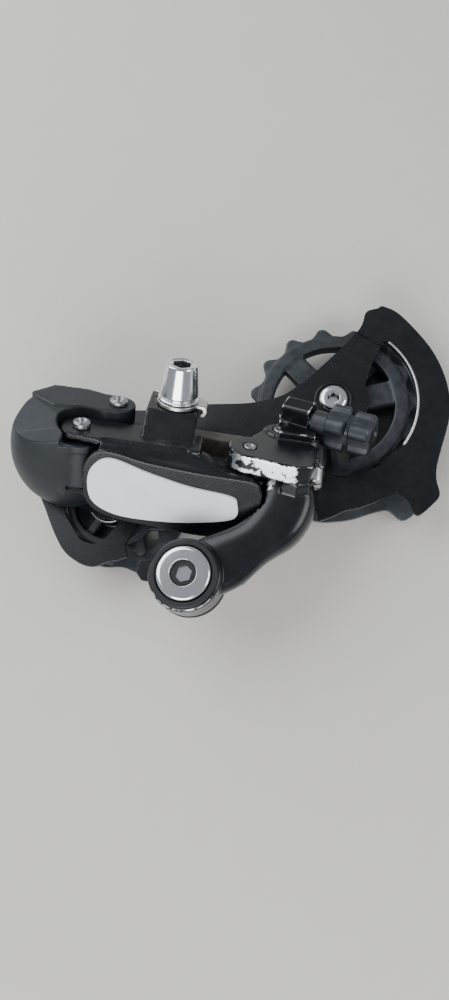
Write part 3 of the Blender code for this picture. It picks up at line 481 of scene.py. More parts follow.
def combine(target, operation, tools):
    for tool in tools:
        step = target.modifiers.new("step", "BOOLEAN")
        step.operation = operation
        step.object = tool
        step.solver = "MANIFOLD"
        bake(target)
        bpy.data.objects.remove(tool, do_unlink=True)
    return target


def join(target, *tools):
    return combine(target, "UNION", tools)


def cut(target, *tools):
    return combine(target, "DIFFERENCE", tools)


def coil(radius, wire, low, high, turns, matrix, per_turn=28):
    """Helical spring about Z."""
    curve = bpy.data.curves.new("coil", "CURVE")
    curve.dimensions = "3D"
    curve.bevel_depth = 0.5 * wire * MM
    curve.bevel_resolution = 4
    curve.use_fill_caps = True
    total = int(turns * per_turn)
    line = curve.splines.new("POLY")
    line.points.add(total)
    for i, point in enumerate(line.points):
        x, y = polar(radius, 360.0 * i / per_turn)
        point.co = (x * MM, y * MM, (low + (high - low) * i / total) * MM, 1.0)
    return solid_from(curve, matrix)


# ---------------------------------------------------------------- finishing
def set_wear(mesh, domain, values):
    store = mesh.attributes.new("wear", "FLOAT", domain)
    store.data.foreach_set("value", np.asarray(values, np.float32))


def read_rows(items, field, width=3, kind=np.float32):
    """A row of numbers for each vertex or face."""
    flat = np.zeros(len(items) * width, kind)
    items.foreach_get(field, flat)
    return flat.reshape(-1, width)


def unit(values):
    return np.clip(values, 0.0, 1.0)


def cast(piece, voxel, rounds, extra_wear=None):
    """Give a rough solid a rounded, evenly meshed skin and mark its outer edges as worn."""
    remesh = piece.modifiers.new("skin", "REMESH")
    remesh.mode = "VOXEL"
    remesh.voxel_size = voxel * MM
    remesh.use_smooth_shade = True
    smooth = piece.modifiers.new("soften", "SMOOTH")
    smooth.factor = 0.5
    smooth.iterations = rounds
    bake(piece)
    places = read_rows(piece.data.vertices, "co").astype(float)
    far = piece.modifiers.new("far", "SMOOTH")
    far.factor = 0.5
    far.iterations = 14
    relaxed = read_rows(evaluated(piece).data.vertices, "co").astype(float)
    piece.modifiers.clear()
    normals = read_rows(piece.data.vertices, "normal")
    outward = ((places - relaxed) * normals).sum(axis=1) / MM
    wear = unit(outward / WORN_LIFT)
    if extra_wear is not None:
        wear = np.maximum(wear, extra_wear(places / MM))
    set_wear(piece.data, "POINT", wear)
    return piece


def rounded(piece, width, segments=3, angle=32.0):
    """Round a crisp piece's edges and mark the round strips as worn."""
    bevel = piece.modifiers.new("edges", "BEVEL")
    bevel.width = width * MM
    bevel.segments = segments
    bevel.limit_method = "ANGLE"
    bevel.angle_limit = math.radians(angle)
    bevel.material = 1
    bevel.use_clamp_overlap = True
    while len(piece.data.materials) < 2:
        piece.data.materials.append(None)
    piece.data.shade_smooth()
    weighted = piece.modifiers.new("normals", "WEIGHTED_NORMAL")
    weighted.keep_sharp = True
    bake(piece)
    faces = piece.data.polygons
    strips = read_rows(faces, "material_index", 1, np.int32)[:, 0]
    corners = read_rows(faces, "loop_total", 1, np.int32)[:, 0]
    set_wear(piece.data, "CORNER", np.repeat(strips, corners))
    piece.data.polygons.foreach_set("material_index", np.zeros(len(strips), np.int32))
    return piece


def dress(mesh, look):
    mesh.materials.clear()
    mesh.materials.append(LOOKS[look])


def stand_in(piece, node, look):
    """The piece takes the CAD node's place, body and material slot."""
    piece.name = "fine_" + node
    piece.data.name = piece.name
    dress(piece.data, look)
    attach(piece, NODE_BODY[node])
    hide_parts(node)


def extra(piece, name, body, look):
    """A small detail that has no CAD node of its own."""
    piece.name = name
    piece.data.name = name
    dress(piece.data, look)
    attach(piece, body)


def thread(radius, low, high, pitch=0.8, depth=0.35):
    """Profile points of a thread, from high down to low."""
    count = max(1, int((high - low) / pitch))
    step = (high - low) / count
    points = []
    for i in range(count):
        top = high - i * step
        points += [(radius, top - 0.12 * step), (radius - depth, top - 0.5 * step),
                   (radius, top - 0.88 * step)]
    return points


# ---------------------------------------------------------------- mounting bolt
def build_mount():
    head_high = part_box("mounting_bolt")[1].z / MM
    head_low = head_high - 2.6
    top = raised([(0.0, -2.4), (4.1, -2.4), (4.3, -0.6), (4.6, -0.02), (4.95, -0.14), (7.6, -0.1),
                  (8.5, -0.25), (9.05, -0.65), (9.3, -1.2)], head_high)
    bolt = turned(top + [(9.3, head_low), (5.0, head_low), (5.0, 0.2)] + thread(5.0, -7.4, 0.2, 1.0)
                  + [(4.1, -8.3), (0.0, -8.3)], ROW)
    stand_in(rounded(bolt, 0.12, 2), "mounting_bolt", "chrome_plate")
    # Black liner inside the hex recess: painted shade that darkens the deep socket.
    socket = prism(circle((0.0, 0.0), 4.2), head_high - 2.5, head_high - 0.9, ROW,
                   [[polar(3.0, 60.0 * i + 12.0) for i in range(6)]])
    extra(rounded(socket, 0.15, 2), "bolt_socket_painted_shade", "mount", "black_rubber")

    ring = turned([(9.75, 17.0), (10.0, 17.2), (11.2, 17.2), (11.6, 16.8), (11.6, 16.1),
                   (11.4, 15.9), (9.9, 15.9), (9.7, 16.1)], ROW, closed=True)
    stand_in(rounded(ring, 0.1, 2), "dust_ring", "black_rubber")

    tab_left = [(-9.0, -1.0), (-17.6, 0.6), (-19.4, 3.2), (-18.6, 7.4), (-9.0, 8.6)]
    tab_right = [(9.0, -2.0), (18.6, -1.6), (22.2, 2.05), (17.4, 4.8), (9.0, 7.0)]
    stopper = tube(12.8, 5.3, 0.0, 1.5, ROW)
    join(stopper, prism(tab_left, 0.05, 1.45, ROW), prism(tab_right, 0.05, 1.45, ROW))
    stand_in(rounded(stopper, 0.25), "stopper_plate", "plate_paint")


# ---------------------------------------------------------------- bracket
LINK_WALL = [
    (10.0, -4.2), (26.0, -6.4), (44.0, -7.5), (57.0, -7.5), (62.4, -8.3), (64.7, -11.8),
    (65.4, -18.5), (63.8, -26.4), (58.4, -31.4), (45.0, -33.4), (28.0, -32.2), (13.0, -31.0),
    (5.2, -26.6), (2.8, -18.0), (3.6, -9.4),
]
UPRIGHT = turn_by(90.0, "X")


def link_wall_sweep(gap):
    """Solids over the space that the outer link's wall takes up as the link swings."""
    centre = sum((Vector(point) for point in LINK_WALL), Vector((0.0, 0.0))) / len(LINK_WALL)
    grown = [Vector(point) + (Vector(point) - centre).normalized() * gap for point in LINK_WALL]
    grown = smooth_loop([tuple(point) for point in grown])
    return [prism(grown, 4.0, 10.0 + gap,
                  LINK @ at_row(*B_OUT) @ turn_by(-swing) @ at_row(*-B_OUT) @ UPRIGHT)
            for swing in range(0, 49, 6)]


def bracket_flare():
    """Smooth arm that sweeps from the boss up to the pivot lugs."""
    stations = smooth_rows([
        # centre x, y, half width, heading, z low, z high
        (1.0, 0.5, 10.0, 35.0, 2.4, 12.8),
        (11.5, 5.4, 10.6, 38.0, 2.2, 12.6),
        (22.5, 11.8, 8.4, 36.0, 1.4, 12.4),
        (30.6, 19.2, 10.2, 52.0, -2.6, 12.8),
        (34.8, 28.6, 10.4, 78.0, -4.8, 12.8),
        (33.8, 40.0, 7.8, 88.0, -5.2, 12.6),
        (34.4, 50.0, 6.6, 88.0, -5.0, 8.4),
    ])
    rings = []
    for x, y, half, heading, low, high in stations:
        turn = math.radians(heading)
        side = Vector((math.sin(turn), -math.cos(turn), 0.0))
        rings.append(oval(Vector((x, y, 0.5 * (low + high))), side * half, UP * 0.5 * (high - low), 3.0))
    return loft(rings)


def chipped_cheek(places):
    """Wear of the lug's front band, where the paint has gone down to the metal; the bare rim along the boss's
    lower top edge is partly wear, partly a painted highlight.
    """
    to_link = np.array(LINK.inverted())
    local = places @ to_link[:3, :3].T + to_link[:3, 3] / MM
    u, v, p = local.T
    band = unit(2.0 - np.abs(p + 2.6) / 2.6) * unit((0.25 - p) / 0.5)
    band = band * (0.8 + 0.5 * unit(np.abs(p + 3.6) / 1.6))
    front = unit(1.0 - (v + 5.0) / 1.6)
    front = np.maximum(front, np.clip((53.6 - u) / 1.0, 0.0, 0.6))
    reach = unit((78.0 - u) / 3.0) * unit((u - 49.0) / 2.0)
    below = unit(1.6 - np.abs(u - 67.4) / 1.6) * unit((p + 15.0) / 5.0)
    below = below * unit(-5.6 - p) * unit(-v - 4.0)
    # Boss rim on its lower side: bare metal that is partly wear and partly a painted highlight.
    boss = unit(1.0 - np.abs(np.hypot(places[:, 0], places[:, 1]) - BOSS_R + 0.3) / 0.7)
    boss = boss * unit((places[:, 2] - BOSS_Z[1] + 0.9) / 0.5)
    boss = boss * unit(0.2 - places[:, 1] / BOSS_R) ** 0.5
    return np.maximum(np.maximum(0.86 * band * front * reach, 1.1 * below), 1.2 * boss)


def build_bracket():
    post_length = 9.6
    body = turned([(0.0, BOSS_Z[1]), (BOSS_R - 0.8, BOSS_Z[1]), (BOSS_R, BOSS_Z[1] - 0.8),
                   (BOSS_R, BOSS_Z[0]), (0.0, BOSS_Z[0])], ROW)
    cheek = arc(B_OUT, 7.2, 90.0, 270.0, 25)
    cheek += [(66.0, -8.6), (75.0, -9.8), (80.0, -8.2), (82.2, -2.0), (82.6, 16.0)]
    cheek += [(79.0, 19.6), (70.0, 20.2)] + arc(B_IN, 6.0, 95.0, 180.0, 12)
    flare = cut(bracket_flare(), box((30.0, -60.0, -0.1), (120.0, 60.0, 60.0), LINK),
                rod(8.2, -42.0, -6.9, at_link(B_OUT)), *link_wall_sweep(1.0))
    web = [(71.0, -9.0), (76.0, -10.2), (80.6, -8.4), (82.4, -2.0), (82.4, 10.0), (73.0, 10.0),
           (72.4, -2.0)]
    join(body, flare, prism(cheek, -6.6, 0.3, LINK), prism(web, -17.0, -6.4, LINK),
         box((68.0, 8.0, -3.0), (81.0, 22.0, 3.6), LINK),
         prism([(-5.4, -5.6), (3.4, -6.0), (5.2, -5.0), (7.3, -0.6), (7.1, 0.4), (0.2, 5.6),
                (-5.4, 5.8)], 0.0, 10.4, ADJUSTER),
         rod(4.9, -0.6, 1.3, at_link(B_IN), chamfer=0.4),
         *[rod(3.5, 0.0, post_length, place, chamfer=0.5) for place in LIMITS],
         box((-3.0, -3.5, 3.6), (3.4, 3.0, 9.2), TENSION_SCREW),
         box((58.5, -3.6, -21.7), (73.0, 5.0, -11.0), LINK),
         rod(6.2, -21.9, -10.8, at_link(B_OUT)))
    inner_swing = [polar(6.3, a, B_IN) for a in range(-110, 91, 10)]
    inner_swing += [polar(45.0, a, B_IN) for a in (122.0, 150.0, 184.0, 195.0)]
    cut(body, prism(inner_swing, -9.6, -3.1, LINK),
        prism(circle(P_OUT, 10.2), BOSS_Z[0] - 1.0, 13.6, ROW),
        rod(6.9, 0.0, 20.0, ROW),
        rod(PIN_FREE_R, -30.0, 5.0, at_link(B_OUT)),
        rod(PIN_HELD_R, -14.0, 5.0, at_link(B_IN)),
        rod(2.9, -1.0, 12.0, ADJUSTER),
        rod(5.0, 10.6, 40.0, ADJUSTER),
        rod(8.8, 16.2, 40.0, ADJUSTER),
        *[rod(2.1, -1.0, post_length + 2.0, place) for place in LIMITS],
        *[rod(3.3, post_length, post_length + 8.0, place) for place in LIMITS],
        rod(2.4, -1.0, 12.0, TENSION_SCREW),
        rod(3.4, 9.2, 14.0, TENSION_SCREW))
    stand_in(cast(body, 0.38, 5, chipped_cheek), "bracket_body", "bracket_paint")


# ---------------------------------------------------------------- screws and adjuster
def cross_screw(node, place, shank_r, shank_low, head_r, head_low, head_high):
    head_mid = 0.5 * (head_low + head_high)
    profile = [(0.0, head_high), (head_r * 0.55, head_high - 0.1), (head_r * 0.85, head_high - 0.5),
               (head_r, head_high - 1.2), (head_r, head_mid), (head_r, head_low), (shank_r, head_low)]
    profile += thread(shank_r, shank_low + 0.4, head_low - 0.2, 0.7, 0.3)
    profile += [(shank_r - 0.4, shank_low), (0.0, shank_low)]
    piece = turned(profile, place, 48)
    reach, half = head_r * 0.62, 0.38
    cut(piece, box((-reach, -half, head_high - 1.3), (reach, half, head_high + 1.0), place),
        box((-half, -reach, head_high - 1.3), (half, reach, head_high + 1.0), place))
    stand_in(rounded(piece, 0.08, 2), node, "zinc_steel")


def build_adjusters():
    for node, place in zip(("limit_screw_high", "limit_screw_low"), LIMITS):
        cross_screw(node, place, 1.7, 1.0, 2.9, 10.1, 15.5)
    cross_screw("b_tension_screw", TENSION_SCREW, 1.9, 0.7, 3.0, 10.4, 12.8)

    sleeve = turned([(1.2, 17.6), (2.3, 17.6)] + thread(2.6, 1.0, 17.4, 0.8, 0.3) + [(1.2, 1.0)],
                    ADJUSTER, 48, closed=True)
    stand_in(sleeve, "adjuster_sleeve", "zinc_steel")
    stand_in(coil(3.4, 0.7, 11.3, 15.6, 3.5, ADJUSTER), "adjuster_spring", "spring_wire")

    sections = [
        # along, mean radius, height of the lobes
        (10.9, 4.3, 0.0), (11.1, 4.5, 0.0), (16.2, 4.5, 0.0), (16.5, 4.9, 0.1), (16.9, 6.2, 0.9),
        (17.5, 6.9, 1.2), (23.4, 7.0, 1.3), (23.9, 6.4, 1.0), (24.3, 5.5, 0.3), (25.2, 5.4, 0.2),
        (25.6, 6.0, 0.8), (26.1, 6.5, 1.1), (32.2, 6.4, 1.1), (33.0, 5.9, 0.8), (33.4, 5.0, 0.4),
    ]
    rings, sides, lobes = [], 144, 4.0
    for along, mean, height in sections:
        ring = []
        for i in range(sides):
            angle = 360.0 * i / sides
            lobe = math.cos(math.radians(lobes * angle))
            swell = mean + height * math.copysign(abs(lobe) ** 0.55, lobe)
            ring.append((*polar(swell, angle + 20.0), along))
        rings.append(ring)
    knob = loft(rings, ADJUSTER)
    cut(knob, rod(3.95, 10.0, 16.2, ADJUSTER), rod(3.0, 15.0, 19.0, ADJUSTER),
        rod(1.6, 18.0, 36.0, ADJUSTER), rod(3.4, 32.6, 36.0, ADJUSTER))
    stand_in(rounded(knob, 0.15, 2, 40.0), "barrel_adjuster", "knob_plastic")


# ---------------------------------------------------------------- links
def link_shoulder():
    """Rounded run from the wall's top edge up to the strap and down again past the clamp."""
    stations = smooth_rows([
        # along, crest of the wall, top of the strap
        (8.0, -4.4, -1.7), (16.0, -5.2, -1.6), (26.0, -6.4, -1.6), (37.0, -7.1, -1.7),
        (44.0, -7.4, -3.6), (50.0, -7.6, -6.7), (56.0, -7.6, -7.3), (61.0, -8.1, -7.4),
    ])
    rings = []
    for u, crest, strap in stations:
        rise = strap - crest
        section = [(-9.95, crest - 5.0), (-9.9, crest - 1.3), (-9.5, crest - 0.1),
                   (-8.6, crest + 0.3 * rise + 0.5), (-7.2, crest + 0.66 * rise + 0.3),
                   (-5.6, strap - 0.1 * rise), (-4.0, strap), (-2.0, strap), (-2.0, strap - 2.4),
                   (-5.2, strap - 3.0), (-7.1, crest - 2.6), (-7.1, crest - 5.0)]
        rings.append([(u, v, level) for v, level in section])
    return loft(rings, LINK)


def build_outer_link():
    upright = LINK @ UPRIGHT
    link = prism(smooth_loop(LINK_WALL), 7.0, 10.0, upright)
    ends = arc(P_OUT, 7.2, 90.0, 235.0, 24)
    lower = ends + [(6.0, -8.2), (56.0, -8.2)] + arc(B_OUT, 6.8, 270.0, 450.0, 24)
    lower += [(50.0, 4.6), (12.0, 4.6)]
    upper = ends + [(7.0, -7.2), (10.0, -5.6), (42.0, -5.2), (42.0, 6.4)]
    stepped = [(37.0, -6.6), (56.0, -6.8)] + arc(B_OUT, 6.8, 270.0, 550.0, 30)
    stepped += [(50.9, -2.6), (44.0, -2.6), (42.4, 6.0), (37.0, 6.2)]
    wedge_side = [(-9.6, -8.2), (7.4, CLAMP_SEAT_P), (22.4, CLAMP_SEAT_P),
                  (22.4, -0.6), (4.0, -2.0), (-8.0, -9.8)]
    side_plane = LINK @ Matrix(((0, 0, 1, 0), (1, 0, 0, 0), (0, 1, 0, 0), (0, 0, 0, 1)))
    join(link, prism(lower, -25.0, -22.5, LINK), prism(upper, -4.0, -1.6, LINK),
         prism(stepped, -10.0, -7.4, LINK), box((38.0, -6.0, -9.9), (41.8, 6.0, -1.8), LINK),
         prism(wedge_side, 20.8, 38.6, side_plane), link_shoulder())
    cut(link, rod(PIN_FREE_R, -30.0, 5.0, at_link(P_OUT)),
        rod(8.7, -22.3, -4.1, at_link(P_OUT)), rod(9.6, -7.8, -4.1, at_link(P_OUT)),
        rod(PIN_FREE_R, -30.0, 5.0, at_link(B_OUT)), rod(2.8, -6.0, 8.0, at_link(CLAMP_UV)))
    stand_in(cast(link, 0.34, 7), "outer_link", "link_paint")

    badge = smooth_loop([
        (12.6, -6.4), (26.0, -10.0), (40.0, -13.0), (54.0, -14.4), (57.0, -17.0),
        (56.2, -23.4), (42.0, -27.4), (28.0, -29.0), (15.0, -28.6), (6.8, -24.4),
        (4.8, -16.4), (6.6, -10.0),
    ])
    stand_in(rounded(prism(badge, 10.05, 11.0, upright), 0.35, 4), "name_plate", "badge_silver")


def build_clamp():
    here = at_link(CLAMP_UV, CLAMP_SEAT_P + 0.3)
    plate = rod(7.5, 0.0, 1.5, here)
    curl = [(5.0, 0.05), (8.2, 0.05), (9.0, -0.4), (9.1, -1.4), (8.2, -2.2), (8.8, -3.3),
            (10.2, -2.6), (10.8, -1.0), (10.5, 0.6), (9.4, 1.4), (5.0, 1.45)]
    join(plate, prism(curl, -3.2, 3.2, here @ UPRIGHT),
         box((-9.4, -2.0, 0.05), (-5.0, 2.0, 1.9), here @ turn_by(-36.0)))
    cut(plate, rod(2.8, -1.0, 3.0, here))
    stand_in(cast(plate, 0.22, 5), "cable_clamp_plate", "zinc_steel")

    bolt = turned([
        (0.0, 14.9), (3.7, 14.9), (4.1, 15.2), (4.9, 15.3), (5.4, 15.1), (5.75, 14.4), (7.0, 4.3),
        (6.95, 3.8), (6.5, 3.5), (6.2, 3.3), (6.2, 2.9), (7.0, 2.7), (7.3, 2.4), (7.3, 1.9),
        (7.1, 1.8), (2.4, 1.8)] + thread(2.4, -7.0, 1.6) + [(2.0, -7.4), (0.0, -7.4)], here)
    cut(bolt, hexagon(3.5, 6.0, 18.0, here))
    stand_in(rounded(bolt, 0.1, 2), "cable_clamp_bolt", "chrome_plate")


def build_inner_link():
    link = rod(5.8, -12.5, -4.9, at_link(P_IN))
    join(link, box((P_IN.x - 1.3, 11.0, -12.4), (56.0, 17.0, -5.0), LINK),
         box((50.0, 11.1, -9.2), (B_IN.x + 1.2, 16.9, -5.1), LINK),
         rod(5.0, -9.3, -3.4, at_link(B_IN)))
    cut(link, rod(PIN_FREE_R, -20.0, 5.0, at_link(P_IN)),
        rod(PIN_FREE_R, -20.0, 5.0, at_link(B_IN)))
    stand_in(cast(link, 0.36, 5), "inner_link", "inner_paint")


def pin(node, uv, low, high, head=None):
    """Pivot pin along p; head is (radius, low, high), or None for a plain riveted end."""
    if head:
        radius, seat, top = head
        profile = [(0.0, top - 1.9), (1.0, top - 1.8), (1.5, top - 0.9), (1.9, top - 0.1),
                   (2.1, top), (2.3, top - 0.3), (2.5, top - 0.35), (radius - 0.4, top - 0.3),
                   (radius - 0.1, top - 0.55), (radius, seat), (PIN_R, seat)]
    else:
        profile = [(0.0, high - 0.6), (0.9, high - 0.55), (1.3, high - 0.1), (1.8, high),
                   (PIN_R, high - 0.3)]
    profile += [(PIN_R, low + 0.3), (PIN_R - 0.3, low), (0.0, low)]
    stand_in(rounded(turned(profile, at_link(uv), 48), 0.06, 2), node, "pin_steel_painted_shade")


def build_pins():
    pin("pin_outer_knuckle", P_OUT, -25.6, 0.7, (3.1, -1.3, 0.7))
    pin("pin_outer_bracket", B_OUT, -25.6, 0.7)
    pin("pin_inner_knuckle", P_IN, -15.8, 4.0, (3.3, 2.3, 4.0))
    pin("pin_inner_bracket", B_IN, -12.4, 1.6)
    spot = LINK @ turn_by(90.0, "Y") @ at_row(16.2, -1.2)
    stand_in(coil(4.2, 1.4, 13.0, 46.0, 9.0, spot), "return_spring", "spring_wire")


# ---------------------------------------------------------------- knuckle
def knuckle_skin(base_z):
    """Rounded knuckle: a round foot on the cage, a squarer top square to the pins."""
    levels = smooth_rows([
        # centre x, y, z, lean from Z to the pins, half width, half depth, squareness
        (-47.0, 48.5, base_z, 0.0, 18.0, 18.0, 2.0),
        (-47.0, 48.5, -4.6, 0.0, 18.4, 18.4, 2.0),
        (-47.4, 48.3, 3.0, 0.15, 18.4, 18.0, 2.1),
        (-46.6, 50.2, 11.0, 0.55, 17.6, 16.8, 2.4),
        (-44.2, 53.6, 18.6, 0.9, 16.6, 15.6, 2.8),
        (-42.2, 56.0, 23.8, 1.0, 14.6, 14.4, 3.0),
        (-41.6, 56.8, 25.4, 1.0, 12.8, 13.2, 3.0),
    ])
    rings = []
    for x, y, z, lean, half_u, half_v, power in levels:
        normal = (UP * (1.0 - lean) + PIN_AXIS * lean).normalized()
        first = Vector((1.0, 0.0, 0.0)) * (1.0 - lean) + LINK_X * lean
        first = (first - normal * first.dot(normal)).normalized()
        rings.append(oval(Vector((x, y, z)), first * half_u, normal.cross(first) * half_v, power))
    return loft(rings)


def swing_outline(radius, end, lip=240.0):
    """Space that the outer link sweeps round its knuckle pivot."""
    outline = arc(P_OUT, radius, 90.0, end, 30)
    outline += [polar(10.9, a) for a in (lip, 0.5 * (lip + 252.0), 252.0)]
    far = Vector(polar(10.9, 252.0)) + Vector(polar(60.0, -45.0))
    return outline + [tuple(far), (60.0, -30.0), (60.0, 7.4), (6.0, 7.4)]


def build_knuckle():
    pivot, top_z = at_link(P_OUT), 30.6
    body = knuckle_skin(z_span("knuckle_body")[0])
    arm = [(-11.5, 6.6), (8.0, 7.8)] + arc(P_IN, 6.2, -80.0, 90.0, 24)
    arm += [(4.0, 20.6), (-3.0, 22.4), (-15.0, 22.0), (-21.4, 13.6)]
    cheek = [(-10.0, 5.0), (8.0, 8.0)] + arc(P_IN, 6.2, -80.0, 100.0, 24) + [(-8.0, 20.0)]
    join(body, prism(arm, -4.5, 2.0, LINK), prism(cheek, -17.0, -12.9, LINK))
    facet = LINK @ axes_frame(Vector((-13.5, 7.5, 2.0)), UP, Vector((-0.24, -0.28, 0.93)))
    cut(body, box((-60.0, -60.0, 0.0), (60.0, 60.0, 40.0), facet),
        box((-90.0, -20.0, top_z), (0.0, 120.0, 60.0), ROW))
    ears, low_ear = swing_outline(8.4, 236.0), swing_outline(7.7, -110.0)
    wall, top_wall = swing_outline(8.0, -117.0), swing_outline(8.0, -109.0, 248.0)
    slot = arc(P_IN, 6.4, 90.0, 260.0, 24) + [(30.0, -16.0), (60.0, -4.0), (60.0, 20.4)]
    cut(body, prism(low_ear, -25.5, -22.0, LINK), prism(ears, -5.4, 6.0, LINK),
        prism(wall, -22.2, -7.4, LINK), prism(top_wall, -7.6, -5.2, LINK),
        prism(slot, -12.8, -4.6, LINK))
    rim = cut(tube(9.5, 8.4, -7.4, -4.6, pivot), box((4.6, -12.0, -9.0), (12.0, 12.0, 0.0), LINK))
    skirt = cut(tube(8.3, 7.6, -26.4, -21.0, pivot),
                box((-3.4, -12.0, -28.0), (12.0, 12.0, -20.0), LINK))
    join(body, rod(8.3, -21.9, -5.5, pivot), rim, skirt,
         box((-10.5, -3.0, -21.7), (-1.0, 5.4, -5.6), LINK))
    cut(body, prism(slot, -12.8, -4.6, LINK))
    here = at_row(*CAGE_AXIS)
    cut(body, rod(11.0, -20.0, 1.4, here), rod(4.3, -20.0, 6.4, here),
        rod(PIN_HELD_R, -26.5, 6.0, pivot), rod(PIN_HELD_R, -16.2, 6.0, at_link(P_IN)))
    stand_in(cast(body, 0.36, 6), "knuckle_body", "knuckle_resin")


# ---------------------------------------------------------------- cage
def face_loops(node, height):
    """Boundary loops, in millimetres, of a plate's flat face at the given height."""
    shell = bmesh.new()
    shell.from_mesh(NODES[node].data)
    bmesh.ops.remove_doubles(shell, verts=shell.verts, dist=0.000005)
    flat = [face for face in shell.faces
            if all(abs(vert.co.z / MM - height) < 0.05 for vert in face.verts)]
    step = {}
    for face in flat:
        for loop in face.loops:
            other = [f for f in loop.edge.link_faces if f is not face]
            if not other or other[0] not in flat:
                step[loop.vert.index] = loop.link_loop_next.vert.index
    places = {vert.index: vert.co.copy() / MM for vert in shell.verts}
    shell.free()
    loops = []
    while step:
        start, _ = next(iter(step.items()))
        loop, here = [], start
        while here in step:
            loop.append(Vector(places[here].xy))
            here = step.pop(here)
        loops.append(loop)
    return sorted(loops, key=len, reverse=True)


def fine_loop(loop, spacing=0.8, corner=38.0):
    """Resample a faceted loop as a smooth one, keeping its true corners."""
    count = len(loop)
    sharp = []
    for i in range(count):
        back, ahead = loop[i] - loop[i - 1], loop[(i + 1) % count] - loop[i]
        sharp.append(abs(back.angle_signed(ahead, 0.0)) > math.radians(corner))
    fine = []
    for i in range(count):
        start, end = loop[i], loop[(i + 1) % count]
        before = start * 2.0 - end if sharp[i] else loop[i - 1]
        after = end * 2.0 - start if sharp[(i + 1) % count] else loop[(i + 2) % count]
        length = (end - start).length
        before = start + (before - start).normalized() * min((before - start).length, 2.5 * length)
        after = end + (after - end).normalized() * min((after - end).length, 2.5 * length)
        pieces = max(1, round(length / spacing))
        fine += [tuple(spline(before, start, end, after, k / pieces)) for k in range(pieces)]
    return fine


def turning(loop):
    """Twice a loop's area, negative where it runs clockwise."""
    return sum(a[0] * b[1] - b[0] * a[1] for a, b in zip(loop, loop[1:] + loop[:1]))


def inset(loop, margin):
    """Loop moved towards its inside by margin."""
    side = math.copysign(margin, turning(loop))
    moved = []
    for i, point in enumerate(loop):
        along = (Vector(loop[(i + 1) % len(loop)]) - Vector(loop[i - 1])).normalized()
        moved.append((point[0] - along.y * side, point[1] + along.x * side))
    return moved


def raised_crescent(loops, face):
    """The outer plate's crescent, pressed a little above the arm that holds the wheel."""
    zone = [(63.6, 97.4), (70.8, 92.2)] + arc(TENSION.xy, 31.4, 47.0, -90.0, 60)
    zone += [(40.0, 36.0), (30.0, 28.0), (30.0, 10.0), (110.0, 10.0), (110.0, 120.0), (50.0, 120.0)]
    holes = [inset(loop, -0.3) for loop in loops[:-1]]
    step = prism(inset(loops[-1], 0.3), face - 0.05, face + 0.45, ROW, holes)
    return combine(step, "INTERSECT", [prism(zone, face - 0.5, face + 2.0, ROW)])


def build_cage_plates():
    for node, span in (("cage_outer_plate", OUTER_PLATE_Z), ("cage_inner_plate", INNER_PLATE_Z)):
        loops = [fine_loop(loop) for loop in face_loops(node, span[1])]
        loops.sort(key=lambda loop: abs(turning(loop)))
        plate = prism(loops[-1], *span, ROW, loops[:-1])
        if node == "cage_outer_plate":
            crescent = rounded(raised_crescent(loops, span[1]), 0.2, 2)
            extra(crescent, "plate_crescent", "cage", "plate_paint")
        look = "plate_paint" if node == "cage_outer_plate" else "inner_plate_paint"
        stand_in(rounded(plate, 0.42, 3), node, look)
    face = OUTER_PLATE_Z[1]
    ring = turned(raised([(5.9, -0.05), (6.2, 0.28), (7.1, 0.28), (7.6, -0.05)], face),
                  at_row(*TENSION.xy), closed=True)
    extra(ring, "bolt_boss_ring", "cage", "plate_paint")
    # Lighter metallic lip under the crescent's inner edge: painted highlight.
    lip = arc(TENSION.xy, 31.1, 46.0, -38.0, 60) + arc(TENSION.xy, 32.1, -38.0, 46.0, 60)
    lip = rounded(prism(lip, OUTER_PLATE_Z[0] - 2.4, face + 0.7, ROW), 0.45, 4)
    extra(lip, "window_lip", "cage", "lip_painted_highlight")
    # Sheet across the inner plate's window behind the tension wheel, in the outer plate's black, not the inner
    # plate's grey: painted shade seen through the wheel's windows.
    web = arc(TENSION.xy, 12.0, -74.0, 46.0, 30) + arc(TENSION.xy, 31.5, 46.0, -74.0, 50)
    web = rounded(prism(web, INNER_PLATE_Z[0] + 0.3, INNER_PLATE_Z[1] - 0.3, ROW), 0.2, 2)
    extra(web, "inner_plate_web_painted_shade", "cage", "plate_paint")


def build_cage_hardware():
    outer_face, inner_face = OUTER_PLATE_Z[1], INNER_PLATE_Z[0]
    shank_r = 2.35
    spot = at_row(*TENSION.xy)
    head = raised([(0.0, 2.3), (2.6, 2.3), (3.6, 2.4), (4.5, 2.15), (5.2, 1.5), (5.5, 0.8), (5.5, 0.3),
                   (shank_r, 0.3)], outer_face)
    tip = raised([(1.9, -0.6), (0.0, -0.6)], inner_face)
    bolt = turned(head + thread(shank_r, inner_face - 0.5, outer_face) + tip, spot)
    cut(bolt, hexagon(2.6, outer_face - 1.6, outer_face + 4.0, spot))
    stand_in(rounded(bolt, 0.1, 2), "tension_pulley_bolt", "chrome_plate")
    spot = at_row(*GUIDE.xy)
    tip = raised([(0.0, -0.3), (2.0, -0.3)], outer_face)
    head = raised([(shank_r, -0.3), (5.0, -0.3), (5.0, -1.4), (4.6, -2.0), (4.0, -2.4), (0.0, -2.4)],
                  inner_face)
    bolt = turned(tip + thread(shank_r, inner_face, outer_face - 0.4) + head, spot)
    cut(bolt, hexagon(1.9, inner_face - 4.0, inner_face - 0.9, spot))
    stand_in(rounded(bolt, 0.1, 2), "guide_pulley_bolt", "chrome_plate")


